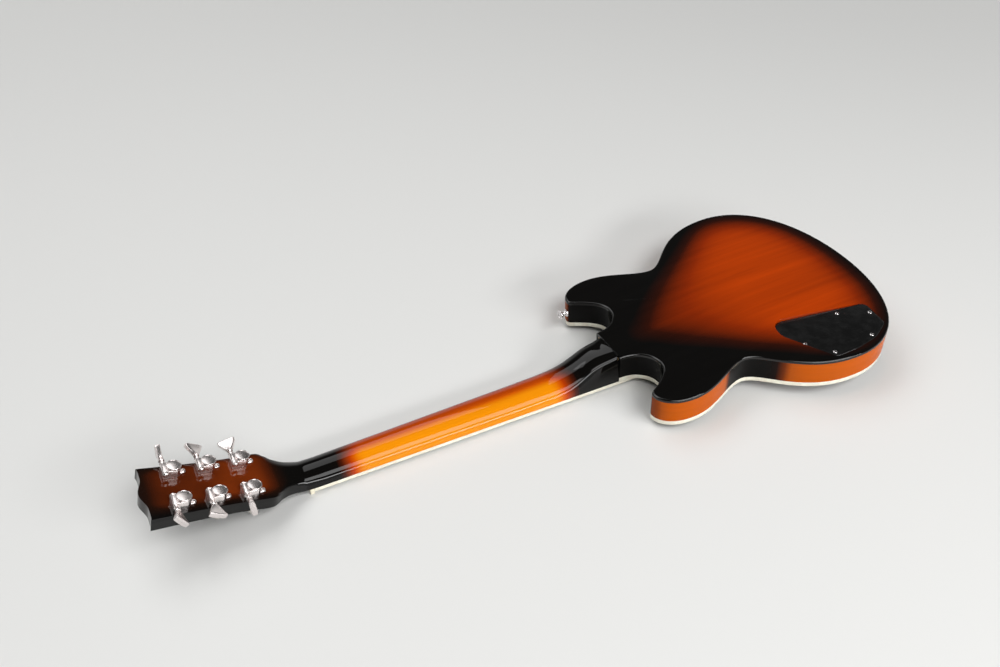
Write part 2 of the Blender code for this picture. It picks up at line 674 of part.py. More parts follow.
def make_bridge(body, chrome, steel):
    """A channelled bar with six notched saddles, on two posts with thumbwheels."""
    low, high, floor = 4.2 * MM, 10.2 * MM, 8.0 * MM
    bridge_frame = frame("bridge_frame", body, (BRIDGE_U, 0, string_plane_w(BRIDGE_U)))
    bar = rounded_polygon([
        (8 * MM, -30 * MM, 5 * MM), (8 * MM, 30 * MM, 5 * MM), (5 * MM, 43 * MM, 4.5 * MM),
        (-5 * MM, 43 * MM, 4.5 * MM), (-8 * MM, 30 * MM, 5 * MM), (-8 * MM, -30 * MM, 5 * MM),
        (-5 * MM, -43 * MM, 4.5 * MM), (5 * MM, -43 * MM, 4.5 * MM),
    ], 3)
    bridge = piece("bridge", prism(bar, low, high), chrome, bridge_frame)
    channel = box((-4.6 * MM, -30.5 * MM, 0), (4.6 * MM, 30.5 * MM, floor))
    combine(bridge, helper("bridge_channel", channel, bridge_frame))
    saddles, notches, spots = [], [], []
    for number in range(6):
        d = STRING_DIAMETERS[number]
        crest = [saddle_offset(number) / MM + x for x in (0.7, -0.7)]
        ridge = [(x, -x * math.tan(BODY_PITCH)) for x in crest]
        foot = floor / MM + 0.4
        wedge = [(-3.9, foot), (3.9, foot), (3.9, 3.4), *ridge, (-3.9, 3.4)]
        saddles.append(loft([[(x * MM, y, z * MM) for x, z in wedge] for y in (-3.6 * MM, 3.6 * MM)]))
        notches.append(box((-9 * MM, -d / 2 - GAP, -2 * MM), (9 * MM, d / 2 + GAP, d + 2 * GAP)))
        spots.append((0, string_y(number, BRIDGE_SPREAD), 0))
    combine(bridge, helper("saddles", merged(saddles, spots), bridge_frame), "UNION")
    combine(bridge, helper("saddle_notches", merged(notches, spots), bridge_frame))
    seats = [cylinder(3.4 * MM, 6 * MM, 20 * MM, 12) for _ in range(2)]
    seat_spots = [(0, side * BRIDGE_POST_SIDE, 0) for side in (1, -1)]
    combine(bridge, helper("bridge_seats", merged(seats, seat_spots), bridge_frame))
    wheel = high / MM + 0.3
    shape = [
        (0, 7.0), (3.0, 7.0), (3.0, wheel), (7.6, wheel), (8.2, wheel + 0.6), (8.2, wheel + 2.2),
        (3.0, wheel + 2.4), (3.0, 34), (0, 34),
    ]
    for side, name in ((1, "bass"), (-1, "treble")):
        post = turned([(r * MM, depth * MM) for r, depth in shape], 14)
        piece(f"bridge_post_{name}", post, steel, bridge_frame, (0, side * BRIDGE_POST_SIDE, 0))


def make_tailpiece(body, chrome, steel):
    """A rounded bar held in the waists of two studs, with a blind hole for each string."""
    tail_frame = frame("tailpiece_frame", body, (TAILPIECE_U, 0, string_plane_w(TAILPIECE_U)))
    low, high = 5.3 * MM, 14.6 * MM
    height = high - low
    section_points = [
        (-7.2, 0.3), (-5.2, 0.02), (0, -0.05), (5.2, 0.1), (7.4, 0.45), (6.6, 0.85), (3, 1), (-5, 1),
        (-7.4, 0.75),
    ]
    rings = []
    for y, shrink in ((-51, 0.55), (-49, 0.85), (-44, 1), (44, 1), (49, 0.85), (51, 0.55)):
        middle = low + height / 2
        swell = height * shrink
        rings.append([(x * MM * shrink, y * MM, middle + (h - 0.5) * swell) for x, h in section_points])
    bar = piece("tailpiece", loft(rings), chrome, tail_frame)
    slots, slot_spots = [], []
    for side in (1, -1):
        slot = arc((0, 0), 3.6 * MM, -90, 90, 6) + [(-12 * MM, 3.6 * MM), (-12 * MM, -3.6 * MM)]
        slots.append(prism(slot, 0, 20 * MM))
        slot_spots.append((0, side * STUD_SIDE, 0))
    combine(bar, helper("stud_slots", merged(slots, slot_spots), tail_frame))
    holes, spots = [], []
    for number in range(6):
        hole = cylinder(1.1 * MM, -12 * MM, -2 * MM, 8)
        bmesh.ops.rotate(hole, matrix=Matrix.Rotation(math.pi / 2, 3, "Y"), verts=hole.verts)
        holes.append(hole)
        spots.append((0, string_y(number, BRIDGE_SPREAD), STRING_ANCHOR_DEPTH))
    combine(bar, helper("string_holes", merged(holes, spots), tail_frame))
    shape = [
        (0, 2.6), (5.2, 2.6), (6.2, 3.2), (6.2, 4.5), (2.9, 4.5), (2.9, 14.9), (6.0, 14.9), (6.0, 16.0),
        (4.5, 16.2), (4.5, 40), (0, 40),
    ]
    profile = [(r * MM, depth * MM) for r, depth in shape]
    for side, name in ((1, "bass"), (-1, "treble")):
        piece(f"tailpiece_stud_{name}", turned(profile, 14), steel, tail_frame, (0, side * STUD_SIDE, 0))


def post_place(number):
    """Head-frame (along, side) of the post that winds a string: the low strings on the bass side."""
    return (TUNER_ALONG[number], TUNER_SIDE) if number < 3 else (TUNER_ALONG[5 - number], -TUNER_SIDE)


def in_guitar(along, y, n):
    """Guitar-frame place of a head-frame point, n counted from the headstock's face to its back."""
    x = HEAD_ROOT_X - along * math.cos(HEAD_TILT) + n * math.sin(HEAD_TILT)
    z = NECK_FACE_Z + along * math.sin(HEAD_TILT) + n * math.cos(HEAD_TILT)
    return Vector((x, y, z))


def string_path(number):
    """From inside the tailpiece over the saddle and through the nut to the loops round the post."""
    d = STRING_DIAMETERS[number]
    level = d / 2
    saddle_y, nut_y = string_y(number, BRIDGE_SPREAD), string_y(number, NUT_SPREAD)
    saddle_x = under_strings(BRIDGE_U, saddle_offset(number), 0, 0).x
    path = [
        under_strings(TAILPIECE_U, -3 * MM, saddle_y, STRING_ANCHOR_DEPTH),
        under_strings(TAILPIECE_U, -9 * MM, saddle_y, STRING_ANCHOR_DEPTH),
        under_strings(TAILPIECE_U, -12 * MM, saddle_y, STRING_ANCHOR_DEPTH - 0.7 * MM),
        Vector((saddle_x + 6 * MM, saddle_y, level + 1.5 * MM)),
        Vector((saddle_x + 1.5 * MM, saddle_y, level)),
        Vector((saddle_x - 1.5 * MM, saddle_y, level)),
        Vector((SCALE_LENGTH / 2, (saddle_y + nut_y) / 2, level)),
        Vector((0.5 * MM, nut_y, level)),
        Vector((-5.2 * MM, nut_y, level)),
        Vector((-7.0 * MM, nut_y, level + 0.15 * MM)),
    ]
    along, side_y = post_place(number)
    side = 1 if side_y > 0 else -1
    reach = POST_WAIST + GAP + d / 2
    first_n, pitch = -9.4 * MM, d + 0.5 * MM
    # The string meets the post on its inner side and winds towards the headstock's face
    for k in range(int(WRAPS * POINTS_A_WRAP) + 1):
        angle = side * (2 * math.pi * k / POINTS_A_WRAP - math.pi / 2)
        n = first_n + pitch * k / POINTS_A_WRAP
        path.append(in_guitar(along + reach * math.cos(angle), side_y + reach * math.sin(angle), n))
    return path


def least_gap(path, diameter):
    """The narrowest space between a string's wraps: points half a wrap or more apart, less one diameter."""
    wraps = path[-int(WRAPS * POINTS_A_WRAP) - 1:]
    apart = POINTS_A_WRAP // 2
    pairs = [(p, q) for i, p in enumerate(wraps) for q in wraps[i + apart:]]
    return min((p - q).length for p, q in pairs) - diameter


def make_strings(guitar, steel, bronze):
    for number, name in enumerate(STRING_NAMES):
        path = string_path(number)
        print(f"string {name}: {least_gap(path, STRING_DIAMETERS[number]) / MM:.2f} mm between its wraps")
        curve = bpy.data.curves.new(f"string_{name}", "CURVE")
        curve.dimensions = "3D"
        curve.bevel_depth = STRING_DIAMETERS[number] / 2
        curve.bevel_resolution = 1
        curve.use_fill_caps = True
        spline = curve.splines.new("POLY")
        spline.points.add(len(path) - 1)
        for point, place in zip(spline.points, path):
            point.co = (*place, 1.0)
        obj = bpy.data.objects.new(f"string_{name}", curve)
        bpy.context.scene.collection.objects.link(obj)
        curve.materials.append(bronze if number < 3 else steel)
        obj.parent = guitar


# Tuners


def tuner_housing_mesh(chrome, head):
    """Sealed gearbox for the bass side: a round cup with a rimmed lid, run together with a flat-sided case
    that arches over the worm, a domed cap on the worm's inner end, and a screw ear behind."""
    base = HEAD_THICKNESS + GAP
    shape = [(0, 0), (7.8, 0), (7.5, 10.8), (8.2, 11.6), (7.4, 12.9), (6.4, 12.3), (0, 12.6)]
    cup = turned([(r * MM, base + h * MM) for r, h in shape], 12)
    housing = piece("tuner_cup", cup, chrome, head)
    worm_at = (-WORM_AHEAD, 0, base + WORM_HEIGHT)
    along_side = (-math.pi / 2, 0, 0)
    barrel = cylinder(WORM_RADIUS - 0.1 * MM, 0, WORM_END_SIDE - TUNER_SIDE - 0.4 * MM, 10)
    worm = helper("worm_barrel", barrel, head, worm_at, along_side)
    dome = [(0, -10.4), (1.9, -10.1), (3.1, -9.2), (3.5, -7.9), (3.5, -7.0), (0, -7.0)]
    cap = helper("worm_cap", turned([(r * MM, y * MM) for r, y in dome], 10), head, worm_at, along_side)
    side_view = [(3.5 * MM, base), (3.5 * MM, base + WORM_HEIGHT + WORM_RADIUS)]
    side_view += arc((-WORM_AHEAD, base + WORM_HEIGHT), WORM_RADIUS, 90, 180, 3)
    side_view.append((-WORM_AHEAD - WORM_RADIUS, base))
    case_rings = [[(x, y, z) for x, z in side_view] for y in (-7.7 * MM, 7.7 * MM)]
    case = helper("gear_case", loft(case_rings), head)
    ear_outline = arc((10.2 * MM, 0), 3.1 * MM, -90, 90, 5) + [(0, 4.6 * MM), (0, -4.6 * MM)]
    ear = helper("screw_ear", prism(ear_outline, base, base + 2.2 * MM), head)
    helpers = [case, worm, cap, ear]
    for part in helpers:
        combine(housing, part, "UNION")
    bore = helper("post_bore", cylinder(POST_RADIUS + 0.4 * MM, 0, base + 4 * MM, 12), head)
    combine(housing, bore)
    return baked(housing, helpers + [bore])


def flipped(mesh, name):
    """The same mesh for the treble side."""
    other = mesh.copy()
    other.name = name
    bm = bmesh.new()
    bm.from_mesh(other)
    bmesh.ops.scale(bm, vec=(1, -1, 1), verts=bm.verts)
    bmesh.ops.reverse_faces(bm, faces=bm.faces)
    bm.to_mesh(other)
    bm.free()
    return other


def tuner_button():
    """Shaft, collar and a flared slab whose end rises to a low ridge, drawn out along +Y from the barrel."""
    rows = [
        (0.3, 1.9, 1.9, 1.0, 0.0), (3.6, 1.9, 1.9, 1.0, 0.0), (3.7, 3.3, 3.3, 1.0, 0.0),
        (5.6, 3.4, 3.4, 1.0, 0.0), (6.4, 4.3, 2.9, 0.8, 0.0), (13.0, 7.4, 2.6, 0.45, 0.0),
        (20.2, 10.3, 3.0, 0.3, 1.2), (21.2, 9.9, 2.4, 0.3, 1.4),
    ]
    rings = []
    for y, half_width, half_thick, roundness, ridge in rows:
        ring = []
        for k in range(10):
            angle = 2 * math.pi * k / 10
            c, s = math.cos(angle), math.sin(angle)
            across = math.copysign(abs(c) ** roundness, c)
            ring.append((
                half_width * MM * across, (y + ridge * (1 - abs(across))) * MM,
                half_thick * MM * math.copysign(abs(s) ** roundness, s),
            ))
        rings.append(ring)
    return loft(rings)


def tuner_post():
    """String post on the headstock's face side, waisted where the string winds."""
    shape = [
        (0, -15.5), (2.2, -15.5), (3.0, -14.2), (3.0, -12.2), (2.4, -11.2), (2.4, -6.0), (3.0, -4.6),
        (3.0, 18.0), (0, 18.0),
    ]
    return turned([(r * MM, n * MM) for r, n in shape], 12)


BUTTON_TURNS = {"bass_1": -22, "bass_2": 22, "bass_3": 80, "treble_1": 72, "treble_2": 20, "treble_3": 48}


def make_tuners(head, chrome, steel):
    """Three tuners a side, counted from the nut."""
    bass_mesh = tuner_housing_mesh(chrome, head)
    treble_mesh = flipped(bass_mesh, "treble_housing")
    for side, side_name in ((1, "bass"), (-1, "treble")):
        for number, along in enumerate(TUNER_ALONG, start=1):
            label = f"{side_name}_{number}"
            at = (-along, side * TUNER_SIDE, 0)
            placed(f"tuner_housing_{label}", bass_mesh if side > 0 else treble_mesh, chrome, head, at)
            piece(f"tuner_post_{label}", tuner_post(), steel, head, at)
            worm_z = HEAD_THICKNESS + GAP + WORM_HEIGHT
            shaft_at = (-along - WORM_AHEAD, side * (WORM_END_SIDE - 0.4 * MM), worm_z)
            button = tuner_button()
            if side < 0:
                bmesh.ops.scale(button, vec=(1, -1, 1), verts=button.verts)
            rest = (0, math.radians(BUTTON_TURNS[label]), 0)
            piece(f"tuner_button_{label}", button, chrome, head, shaft_at, rest)


# Controls


def make_knobs(body, outline, black, steel):
    """Each knob is one piece with its shaft, which turns in the bushing of its pot."""
    for name, (u, v) in KNOBS.items():
        surface = face_w(u, v, outline) / MM
        pot = [
            (12, 4.6), (12, 13), (3.0, 13.6), (3.0, 12.8), (3.6, 12.8), (3.6, surface - 5.5),
            (4.5, surface - 5.5), (4.5, 4.6),
        ]
        piece(f"{name}_pot", turned([(r * MM, w * MM) for r, w in pot], 12), steel, body, (u, v, 0))
        top = surface - 14.0
        knob = [
            (0, top), (10.2, top), (11.0, top + 0.8), (11.4, top + 3.0), (12.2, surface - 1.2),
            (11.4, surface - 1.0), (6.2, surface - 1.0), (6.2, surface - 7.2), (3.1, surface - 7.2),
            (3.1, 12.2), (0, 12.2),
        ]
        piece(f"{name}_knob", turned([(r * MM, w * MM) for r, w in knob], 14), black, body, (u, v, 0))


def make_toggle(body, outline, chrome, cream):
    """Three-way switch: box and bushing under and through the face, and a lever with a moulded tip."""
    u, v = TOGGLE
    surface = face_w(u, v, outline) / MM
    shape = [
        (4.2, surface - 3.6), (5.9, surface - 3.6), (5.9, surface - 2.6), (7.6, surface - 2.4),
        (7.6, surface - 0.3), (5.9, surface - 0.3), (5.9, 4.4), (8.0, 4.4), (8.0, 9.0), (4.2, 6.0),
    ]
    switch = piece("toggle_switch", turned([(r * MM, w * MM) for r, w in shape], 16), chrome, body, (u, v, 0))
    shell = box((-11 * MM, -7.5 * MM, 7.6 * MM), (11 * MM, 7.5 * MM, 24 * MM))
    case = helper("toggle_case", shell, body, (u, v, 0))
    combine(switch, case, "UNION")
    lever = [
        (0, -13.2), (2.6, -12.7), (4.0, -11.2), (4.2, -8.6), (3.4, -5.2), (2.2, -3.4), (1.6, -3.0),
        (1.6, 4.0), (2.4, 5.0), (1.6, 6.4), (0, 6.8),
    ]
    profile = [(r * MM, (surface + w) * MM) for r, w in lever]
    piece("toggle_lever", turned(profile, 14), cream, body, (u, v, 0))


def make_jack(body, outline, chrome):
    u, v = JACK
    surface = face_w(u, v, outline) / MM
    shape = [
        (3.8, surface - 3.4), (4.7, surface - 3.4), (4.7, surface - 2.2), (8.2, surface - 2.2),
        (8.2, surface - 0.3), (4.7, surface - 0.3), (4.7, 4.4), (8.5, 4.4), (8.5, 24.0), (3.8, 24.0),
    ]
    return piece("jack_socket", turned([(r * MM, w * MM) for r, w in shape], 16), chrome, body, (u, v, 0))


def main():
    clear_scene()
    amber = finish("amber_lacquered_wood", (0.44, 0.11, 0.015), 0.2)
    brown = finish("brown_burst_lacquer", (0.35, 0.06, 0.008), 0.2)
    maple = finish("plain_maple", (0.62, 0.42, 0.22), 0.55)
    rosewood = finish("rosewood", (0.06, 0.028, 0.015), 0.5)
    cream = finish("cream_binding", (0.78, 0.74, 0.6), 0.35)
    bone = finish("bone", (0.82, 0.78, 0.66), 0.4)
    black = finish("black_plastic", (0.012, 0.012, 0.013), 0.28)
    chrome = finish("chrome", (0.72, 0.72, 0.73), 0.12, 1.0)
    steel = finish("nickel_steel", (0.6, 0.6, 0.6), 0.28, 1.0)
    bronze = finish("wound_string", (0.55, 0.5, 0.43), 0.35, 1.0)

    guitar = frame("guitar", location=(NUT_X, 0, 0))
    head = frame("headstock_frame", guitar, (HEAD_ROOT_X, 0, NECK_FACE_Z), (0, HEAD_TILT, 0))
    body = frame("body_frame", guitar, (NECK_JOINT_X, 0, NECK_FACE_Z), (0, -BODY_PITCH, 0))
    outline = mirrored(half_outline())

    make_neck(guitar, head, amber)
    make_truss_rod(guitar, head, steel, black)
    make_fingerboard(guitar, rosewood)
    make_board_binding(guitar, cream)
    make_nut(guitar, bone)

    make_sides(body, outline, amber)
    make_top_binding(body, outline, cream)
    make_top(body, guitar, outline, brown)
    make_back(body, outline, brown)
    make_centre_block(body, guitar, maple)
    make_control_cover(body, black)
    make_strap_buttons(body, outline, chrome)

    for name, (u, cover_w) in PICKUPS.items():
        make_pickup(body, name, u, cover_w, outline, chrome, black)
    make_bridge(body, chrome, steel)
    make_tailpiece(body, chrome, steel)
    make_strings(guitar, steel, bronze)
    make_tuners(head, chrome, steel)
    make_knobs(body, outline, black, steel)
    make_toggle(body, outline, chrome, cream)
    make_jack(body, outline, chrome)


main()
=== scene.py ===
# %% [markdown]
# # Dressing a semi-hollow guitar
#
# The guitar comes packed as plain solids that already have their true size and place. This lesson
# gives it its looks. It lies on its strings, so the arched back, the bent sides, the back of the
# neck and the six tuners face the camera, and the face with its pickups looks at the floor.
#
# The first cell loads those solids and keeps the box they fill, so that the last cell can set the
# dressed guitar's box against it. The box they fill is kept, because nothing added later may grow
# past it.

import json
import math

import bpy
import numpy as np
from mathutils import Matrix, Vector

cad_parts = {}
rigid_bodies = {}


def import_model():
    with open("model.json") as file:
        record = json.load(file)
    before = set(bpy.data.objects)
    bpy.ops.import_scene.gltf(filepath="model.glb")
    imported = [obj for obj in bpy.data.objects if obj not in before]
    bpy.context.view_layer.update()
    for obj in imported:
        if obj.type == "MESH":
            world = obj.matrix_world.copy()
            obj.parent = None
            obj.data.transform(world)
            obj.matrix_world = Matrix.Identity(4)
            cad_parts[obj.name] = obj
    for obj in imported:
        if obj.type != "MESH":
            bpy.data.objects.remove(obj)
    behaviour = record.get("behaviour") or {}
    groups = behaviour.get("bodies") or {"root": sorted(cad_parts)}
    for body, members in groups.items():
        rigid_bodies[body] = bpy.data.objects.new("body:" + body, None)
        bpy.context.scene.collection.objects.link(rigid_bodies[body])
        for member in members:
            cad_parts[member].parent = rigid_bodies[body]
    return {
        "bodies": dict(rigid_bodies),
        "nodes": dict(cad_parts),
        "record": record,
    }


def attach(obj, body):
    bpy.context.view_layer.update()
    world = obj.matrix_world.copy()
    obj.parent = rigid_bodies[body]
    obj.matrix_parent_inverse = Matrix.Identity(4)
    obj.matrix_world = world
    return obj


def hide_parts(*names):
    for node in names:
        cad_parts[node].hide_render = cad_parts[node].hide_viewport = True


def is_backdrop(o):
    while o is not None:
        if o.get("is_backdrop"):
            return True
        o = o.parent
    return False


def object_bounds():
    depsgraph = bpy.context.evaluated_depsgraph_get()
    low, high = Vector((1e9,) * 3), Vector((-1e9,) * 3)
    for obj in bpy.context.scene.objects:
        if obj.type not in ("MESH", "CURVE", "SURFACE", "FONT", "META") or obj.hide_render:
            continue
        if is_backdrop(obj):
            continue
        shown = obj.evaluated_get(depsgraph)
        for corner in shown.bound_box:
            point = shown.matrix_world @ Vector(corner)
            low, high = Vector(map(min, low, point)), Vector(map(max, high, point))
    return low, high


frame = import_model()
solid_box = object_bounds()
MM = 0.001
SLOT_OF = {part["node"]: part["material_slot"] for part in frame["record"]["subparts"]}

# %% [markdown]
# ## Camera, floor and light
#
# A camera is a place, a heading and a lens. These were worked out from the fret spacing and the
# taper of the fingerboard in the photograph.

# %% Camera
LENS_MM = 34.96
CAMERA_PLACE = (-0.4612, -0.7757, 0.8551)
CAMERA_DOWN = 0.695
CAMERA_YAW = 0.4762

camera_data = bpy.data.cameras.new("camera")
camera_data.lens = LENS_MM
camera_data.clip_start = 0.01
camera = bpy.data.objects.new("camera", camera_data)
camera.location = CAMERA_PLACE
camera.rotation_euler = (math.pi / 2 - CAMERA_DOWN, 0, -CAMERA_YAW)
bpy.context.scene.collection.objects.link(camera)
bpy.context.scene.camera = camera
bpy.context.scene.view_settings.view_transform = "Standard"
print("camera", round((Vector(CAMERA_PLACE)).length, 2), "m from the guitar's middle")

# %% [markdown]
# Lacquer is a mirror as much as a colour, so what matters is where the lamps are *not*. None
# stands where the flat back would throw it at the camera. One long soft box hangs above the treble
# side and a narrow strip stands in front of it, low, where only the round neck and the rounded edges
# can mirror them, as bright lines along the guitar.

# %% Lamps


def soft_box(name, place, target, width, height, watts):
    data = bpy.data.lights.new(name, "AREA")
    data.shape = "RECTANGLE"
    data.size, data.size_y = width, height
    data.energy = watts
    lamp = bpy.data.objects.new(name, data)
    lamp.location = place
    lamp.rotation_euler = (Vector(target) - Vector(place)).to_track_quat("-Z", "Y").to_euler()
    bpy.context.scene.collection.objects.link(lamp)


soft_box("key", (0.6, -2.2, 3.1), (0.1, 0.1, 0.0), 3.2, 1.5, 90)
soft_box("strip", (0.8, -2.8, 1.3), (-0.1, 0.0, 0.03), 2.8, 0.45, 55)
soft_box("fill", (-1.6, 0.9, 2.4), (0.0, 0.2, 0.0), 1.6, 1.6, 22)
soft_box("overhead", (-0.1, 2.4, 3.4), (0.1, 0.8, 0.0), 2.6, 2.6, 45)
print(len(bpy.data.lights), "lamps")

# %% [markdown]
# ## Writing a finish as sums
#
# Blender builds a material out of nodes, and much of it is arithmetic. The class below wraps the
# output of a node, so that `1 - mask` or `grain * 0.2` adds the Math node by itself. Anything that
# isn't arithmetic goes through one method, `node`.

# %% A class for finishes


class Wire:
    """One output of a node. Sums and products of wires are Math nodes."""

    def __init__(self, finish, socket):
        self.finish = finish
        self.socket = socket

    def with_math(self, operation, *values):
        return self.finish.node("Math", {"operation": operation}, dict(enumerate(values)))

    def __add__(self, other):
        return self.with_math("ADD", self, other)

    def __sub__(self, other):
        return self.with_math("SUBTRACT", self, other)

    def __rsub__(self, other):
        return self.with_math("SUBTRACT", other, self)

    def __mul__(self, other):
        return self.with_math("MULTIPLY", self, other)

    def larger(self, other):
        return self.with_math("MAXIMUM", self, other)

    __radd__ = __add__
    __rmul__ = __mul__


class Finish:
    """A material in the making."""

    def __init__(self, name):
        self.material = bpy.data.materials.new(name)
        self.material.use_nodes = True
        self.tree = self.material.node_tree
        self.shader = self.tree.nodes["Principled BSDF"]

    @classmethod
    def of_world(cls, world):
        """The same tools for the tree of a world."""
        sky = cls.__new__(cls)
        sky.tree = world.node_tree
        sky.shader = sky.tree.nodes["Background"]
        return sky

    def plug(self, socket, value):
        if isinstance(value, Wire):
            self.tree.links.new(value.socket, socket)
        else:
            socket.default_value = value

    def node(self, kind, settings=None, sockets=None, output=0):
        made = self.tree.nodes.new("ShaderNode" + kind)
        for key, value in (settings or {}).items():
            if key == "stops":
                for _ in range(len(value) - 2):
                    made.color_ramp.elements.new(0.5)
                for element, (position, colour) in zip(made.color_ramp.elements, value):
                    element.position = position
                    element.color = colour
            else:
                setattr(made, key, value)
        for key, value in (sockets or {}).items():
            self.plug(made.inputs[key], value)
        return Wire(self, made.outputs[output])

    def surface(self, **values):
        """Sets the main shader's sockets: base_color=..., coat_weight=... and so on."""
        for key, value in values.items():
            words = key.replace("_", " ").title().replace("Ior", "IOR")
            self.plug(self.shader.inputs[words], value)
        return self.material

    def place(self, scale=(1, 1, 1), turn=(0, 0, 0)):
        """Where a point is on the guitar at rest, stretched and turned for a pattern."""
        raw = self.node("TexCoord", output="Object")
        return self.node("Mapping", sockets={"Vector": raw, "Scale": scale, "Rotation": turn})

    def noise(self, scale, place, detail=3.0, roughness=0.55):
        sockets = {"Vector": place, "Scale": scale, "Detail": detail, "Roughness": roughness}
        return self.node("TexNoise", sockets=sockets)

    def mask(self, name):
        """A number painted on the mesh's points."""
        return self.node("Attribute", {"attribute_name": name}, output="Fac")

    def between(self, value, low, high, start=0.0, end=1.0):
        """A soft step from start to end as the value goes from low to high."""
        sockets = {"Value": value, "From Min": low, "From Max": high, "To Min": start, "To Max": end}
        return self.node("MapRange", {"interpolation_type": "SMOOTHSTEP"}, sockets)

    def mix(self, share, first, second):
        return self.node("Mix", {"data_type": "RGBA"}, {0: share, 6: first, 7: second}, output=2)

    def ramp(self, value, stops):
        return self.node("ValToRGB", {"stops": stops}, {"Fac": value})

    def bump(self, height, distance, strength=1.0):
        sockets = {"Height": height, "Distance": distance, "Strength": strength}
        return self.node("Bump", sockets=sockets)


def shade(red, green, blue):
    """A colour as a screen shows it, 0 to 255, made linear for Blender."""
    shares = (red / 255, green / 255, blue / 255)
    return (*(c / 12.92 if c <= 0.04045 else ((c + 0.055) / 1.055) ** 2.4 for c in shares), 1.0)


PAPER = shade(226, 226, 224)
print("paper is", [round(c, 3) for c in PAPER[:3]], "in linear light")

# %% [markdown]
# The floor is a plain pale sheet. Far from the lamps it would go dark, so out there it shows its own
# paper colour to the camera and to mirrors, and the low part of the sky shows the same. Neither adds
# light to the guitar. The floor is marked as a stage, so it never counts as part of the guitar.

# %% Floor
FLOOR_DROP = 0.3 * MM
LAMPLIT, FAR_OFF = 1.0, 4.0


def seen(finish):
    """1 for what the camera, a mirror or glass sees, 0 for light that falls on a surface."""
    kinds = ("Camera", "Glossy", "Transmission")
    direct, mirrored, through = (finish.node("LightPath", output=f"Is {kind} Ray") for kind in kinds)
    return direct.larger(mirrored.larger(through))


bpy.ops.mesh.primitive_plane_add(size=60, location=(0, 0, -FLOOR_DROP))
floor = bpy.context.object
floor.name = "floor"
paper = Finish("pale_floor")
floor.data.materials.append(paper.surface(base_color=PAPER, roughness=0.6))
distance = paper.node("VectorMath", {"operation": "LENGTH"}, {0: paper.place()}, output="Value")
glow = paper.between(distance, LAMPLIT, FAR_OFF) * seen(paper)
lit = Wire(paper, paper.shader.outputs[0])
glowing = paper.node("Emission", sockets={"Color": PAPER, "Strength": 1.0})
blended = paper.node("MixShader", sockets={0: glow, 1: lit, 2: glowing})
paper.plug(paper.tree.nodes["Material Output"].inputs["Surface"], blended)
floor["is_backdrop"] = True
print("floor", round(floor.dimensions.x), "m wide")

# %% Sky
DARK_SKY = (0.04, 0.04, 0.04, 1.0)
HORIZON_TOP, DARK_FROM = 0.12, 0.42

world = bpy.data.worlds.new("studio")
world.use_nodes = True
bpy.context.scene.world = world
sky = Finish.of_world(world)
looking = sky.node("TexCoord", output="Generated")
height = sky.node("SeparateXYZ", sockets={"Vector": looking}, output="Z")
low_sky = sky.between(height, HORIZON_TOP, DARK_FROM, 1.0, 0.0) * seen(sky)
sky.plug(sky.shader.inputs["Color"], sky.mix(low_sky, DARK_SKY, PAPER))
print("pale up to", round(math.degrees(math.asin(HORIZON_TOP))), "degrees above the horizon")

# %% [markdown]
# ## Wood under lacquer
#
# A sunburst is sprayed in layers: amber over the bare wood, then red-brown, then black, each pass
# closer to the edge. So one painted number, `burst`, is enough. It is 1 in the open middle and
# falls to 0 at the edge, and a ramp turns it into the layers. On the neck that number also carries
# painted light, lighter on the treble side and darker at the bass edge. Each piece of wood gets its
# own ramp, grain and direction, and the clear coat on top is the same on all of them.

# %% Sunburst lacquer


def sunburst(name, layers, grain_scale, grain_turn=(0, 0, 0), depth=0.16, gloss=1.4, coat=1.0):
    """Layers are (burst value, colour) stops from the edge to the middle."""
    wood = Finish(name)
    along, *across = grain_scale
    broad_scale = [s * 0.16 for s in grain_scale]
    pore_scale = [along * 3, *(s * 5 for s in across)]
    streaks = wood.noise(1.0, wood.place(grain_scale, grain_turn), detail=5.0, roughness=0.6)
    broad = wood.noise(1.0, wood.place(broad_scale, grain_turn), detail=2.0)
    pores = wood.between(wood.noise(1.0, wood.place(pore_scale, grain_turn), detail=2.0), 0.6, 0.8)
    tone = 1.0 + (streaks - 0.5) * depth * 2 + (broad - 0.5) * depth * 2.4 - pores * depth * 0.3
    sprayed = wood.ramp(wood.mask("burst"), layers)
    colour = wood.node("VectorMath", {"operation": "SCALE"}, {0: sprayed, "Scale": tone})
    ripple = wood.noise(160.0, wood.place(), detail=1.0)
    return wood.surface(
        base_color=colour,
        roughness=0.4 + (streaks - 0.5) * 0.1,
        specular_ior_level=0.0,
        coat_weight=coat,
        coat_roughness=0.03,
        coat_ior=gloss,
        normal=wood.bump(ripple, 0.00002, 0.25),
    )


BLACK = shade(10, 9, 8)
back_lacquer = sunburst("back_lacquer", [
    (0.0, BLACK), (0.16, BLACK), (0.34, shade(46, 14, 5)), (0.5, shade(96, 28, 3)),
    (0.72, shade(134, 39, 2)), (1.0, shade(176, 58, 2)),
], (4.0, 110.0, 110.0), (0, 0, math.radians(-4)), depth=0.3, gloss=1.5)
rim_lacquer = sunburst("rim_lacquer", [
    (0.0, BLACK), (0.2, shade(24, 10, 5)), (0.45, shade(110, 46, 10)), (0.7, shade(178, 82, 14)),
    (1.0, shade(192, 87, 6)),
], (9.0, 9.0, 160.0), depth=0.14, gloss=1.25, coat=0.6)
neck_lacquer = sunburst("neck_lacquer", [
    (0.0, BLACK), (0.14, shade(14, 9, 7)), (0.3, shade(70, 22, 6)), (0.48, shade(130, 46, 12)),
    (0.62, shade(172, 54, 4)), (0.76, shade(204, 86, 4)), (1.0, shade(234, 140, 8)),
], (7.0, 120.0, 120.0), depth=0.14, gloss=1.33)
head_lacquer = sunburst("head_lacquer", [
    (0.0, BLACK), (0.25, shade(32, 14, 6)), (0.6, shade(82, 30, 6)), (1.0, shade(128, 50, 9)),
], (9.0, 90.0, 90.0), depth=0.16)
print("four lacquers mixed")

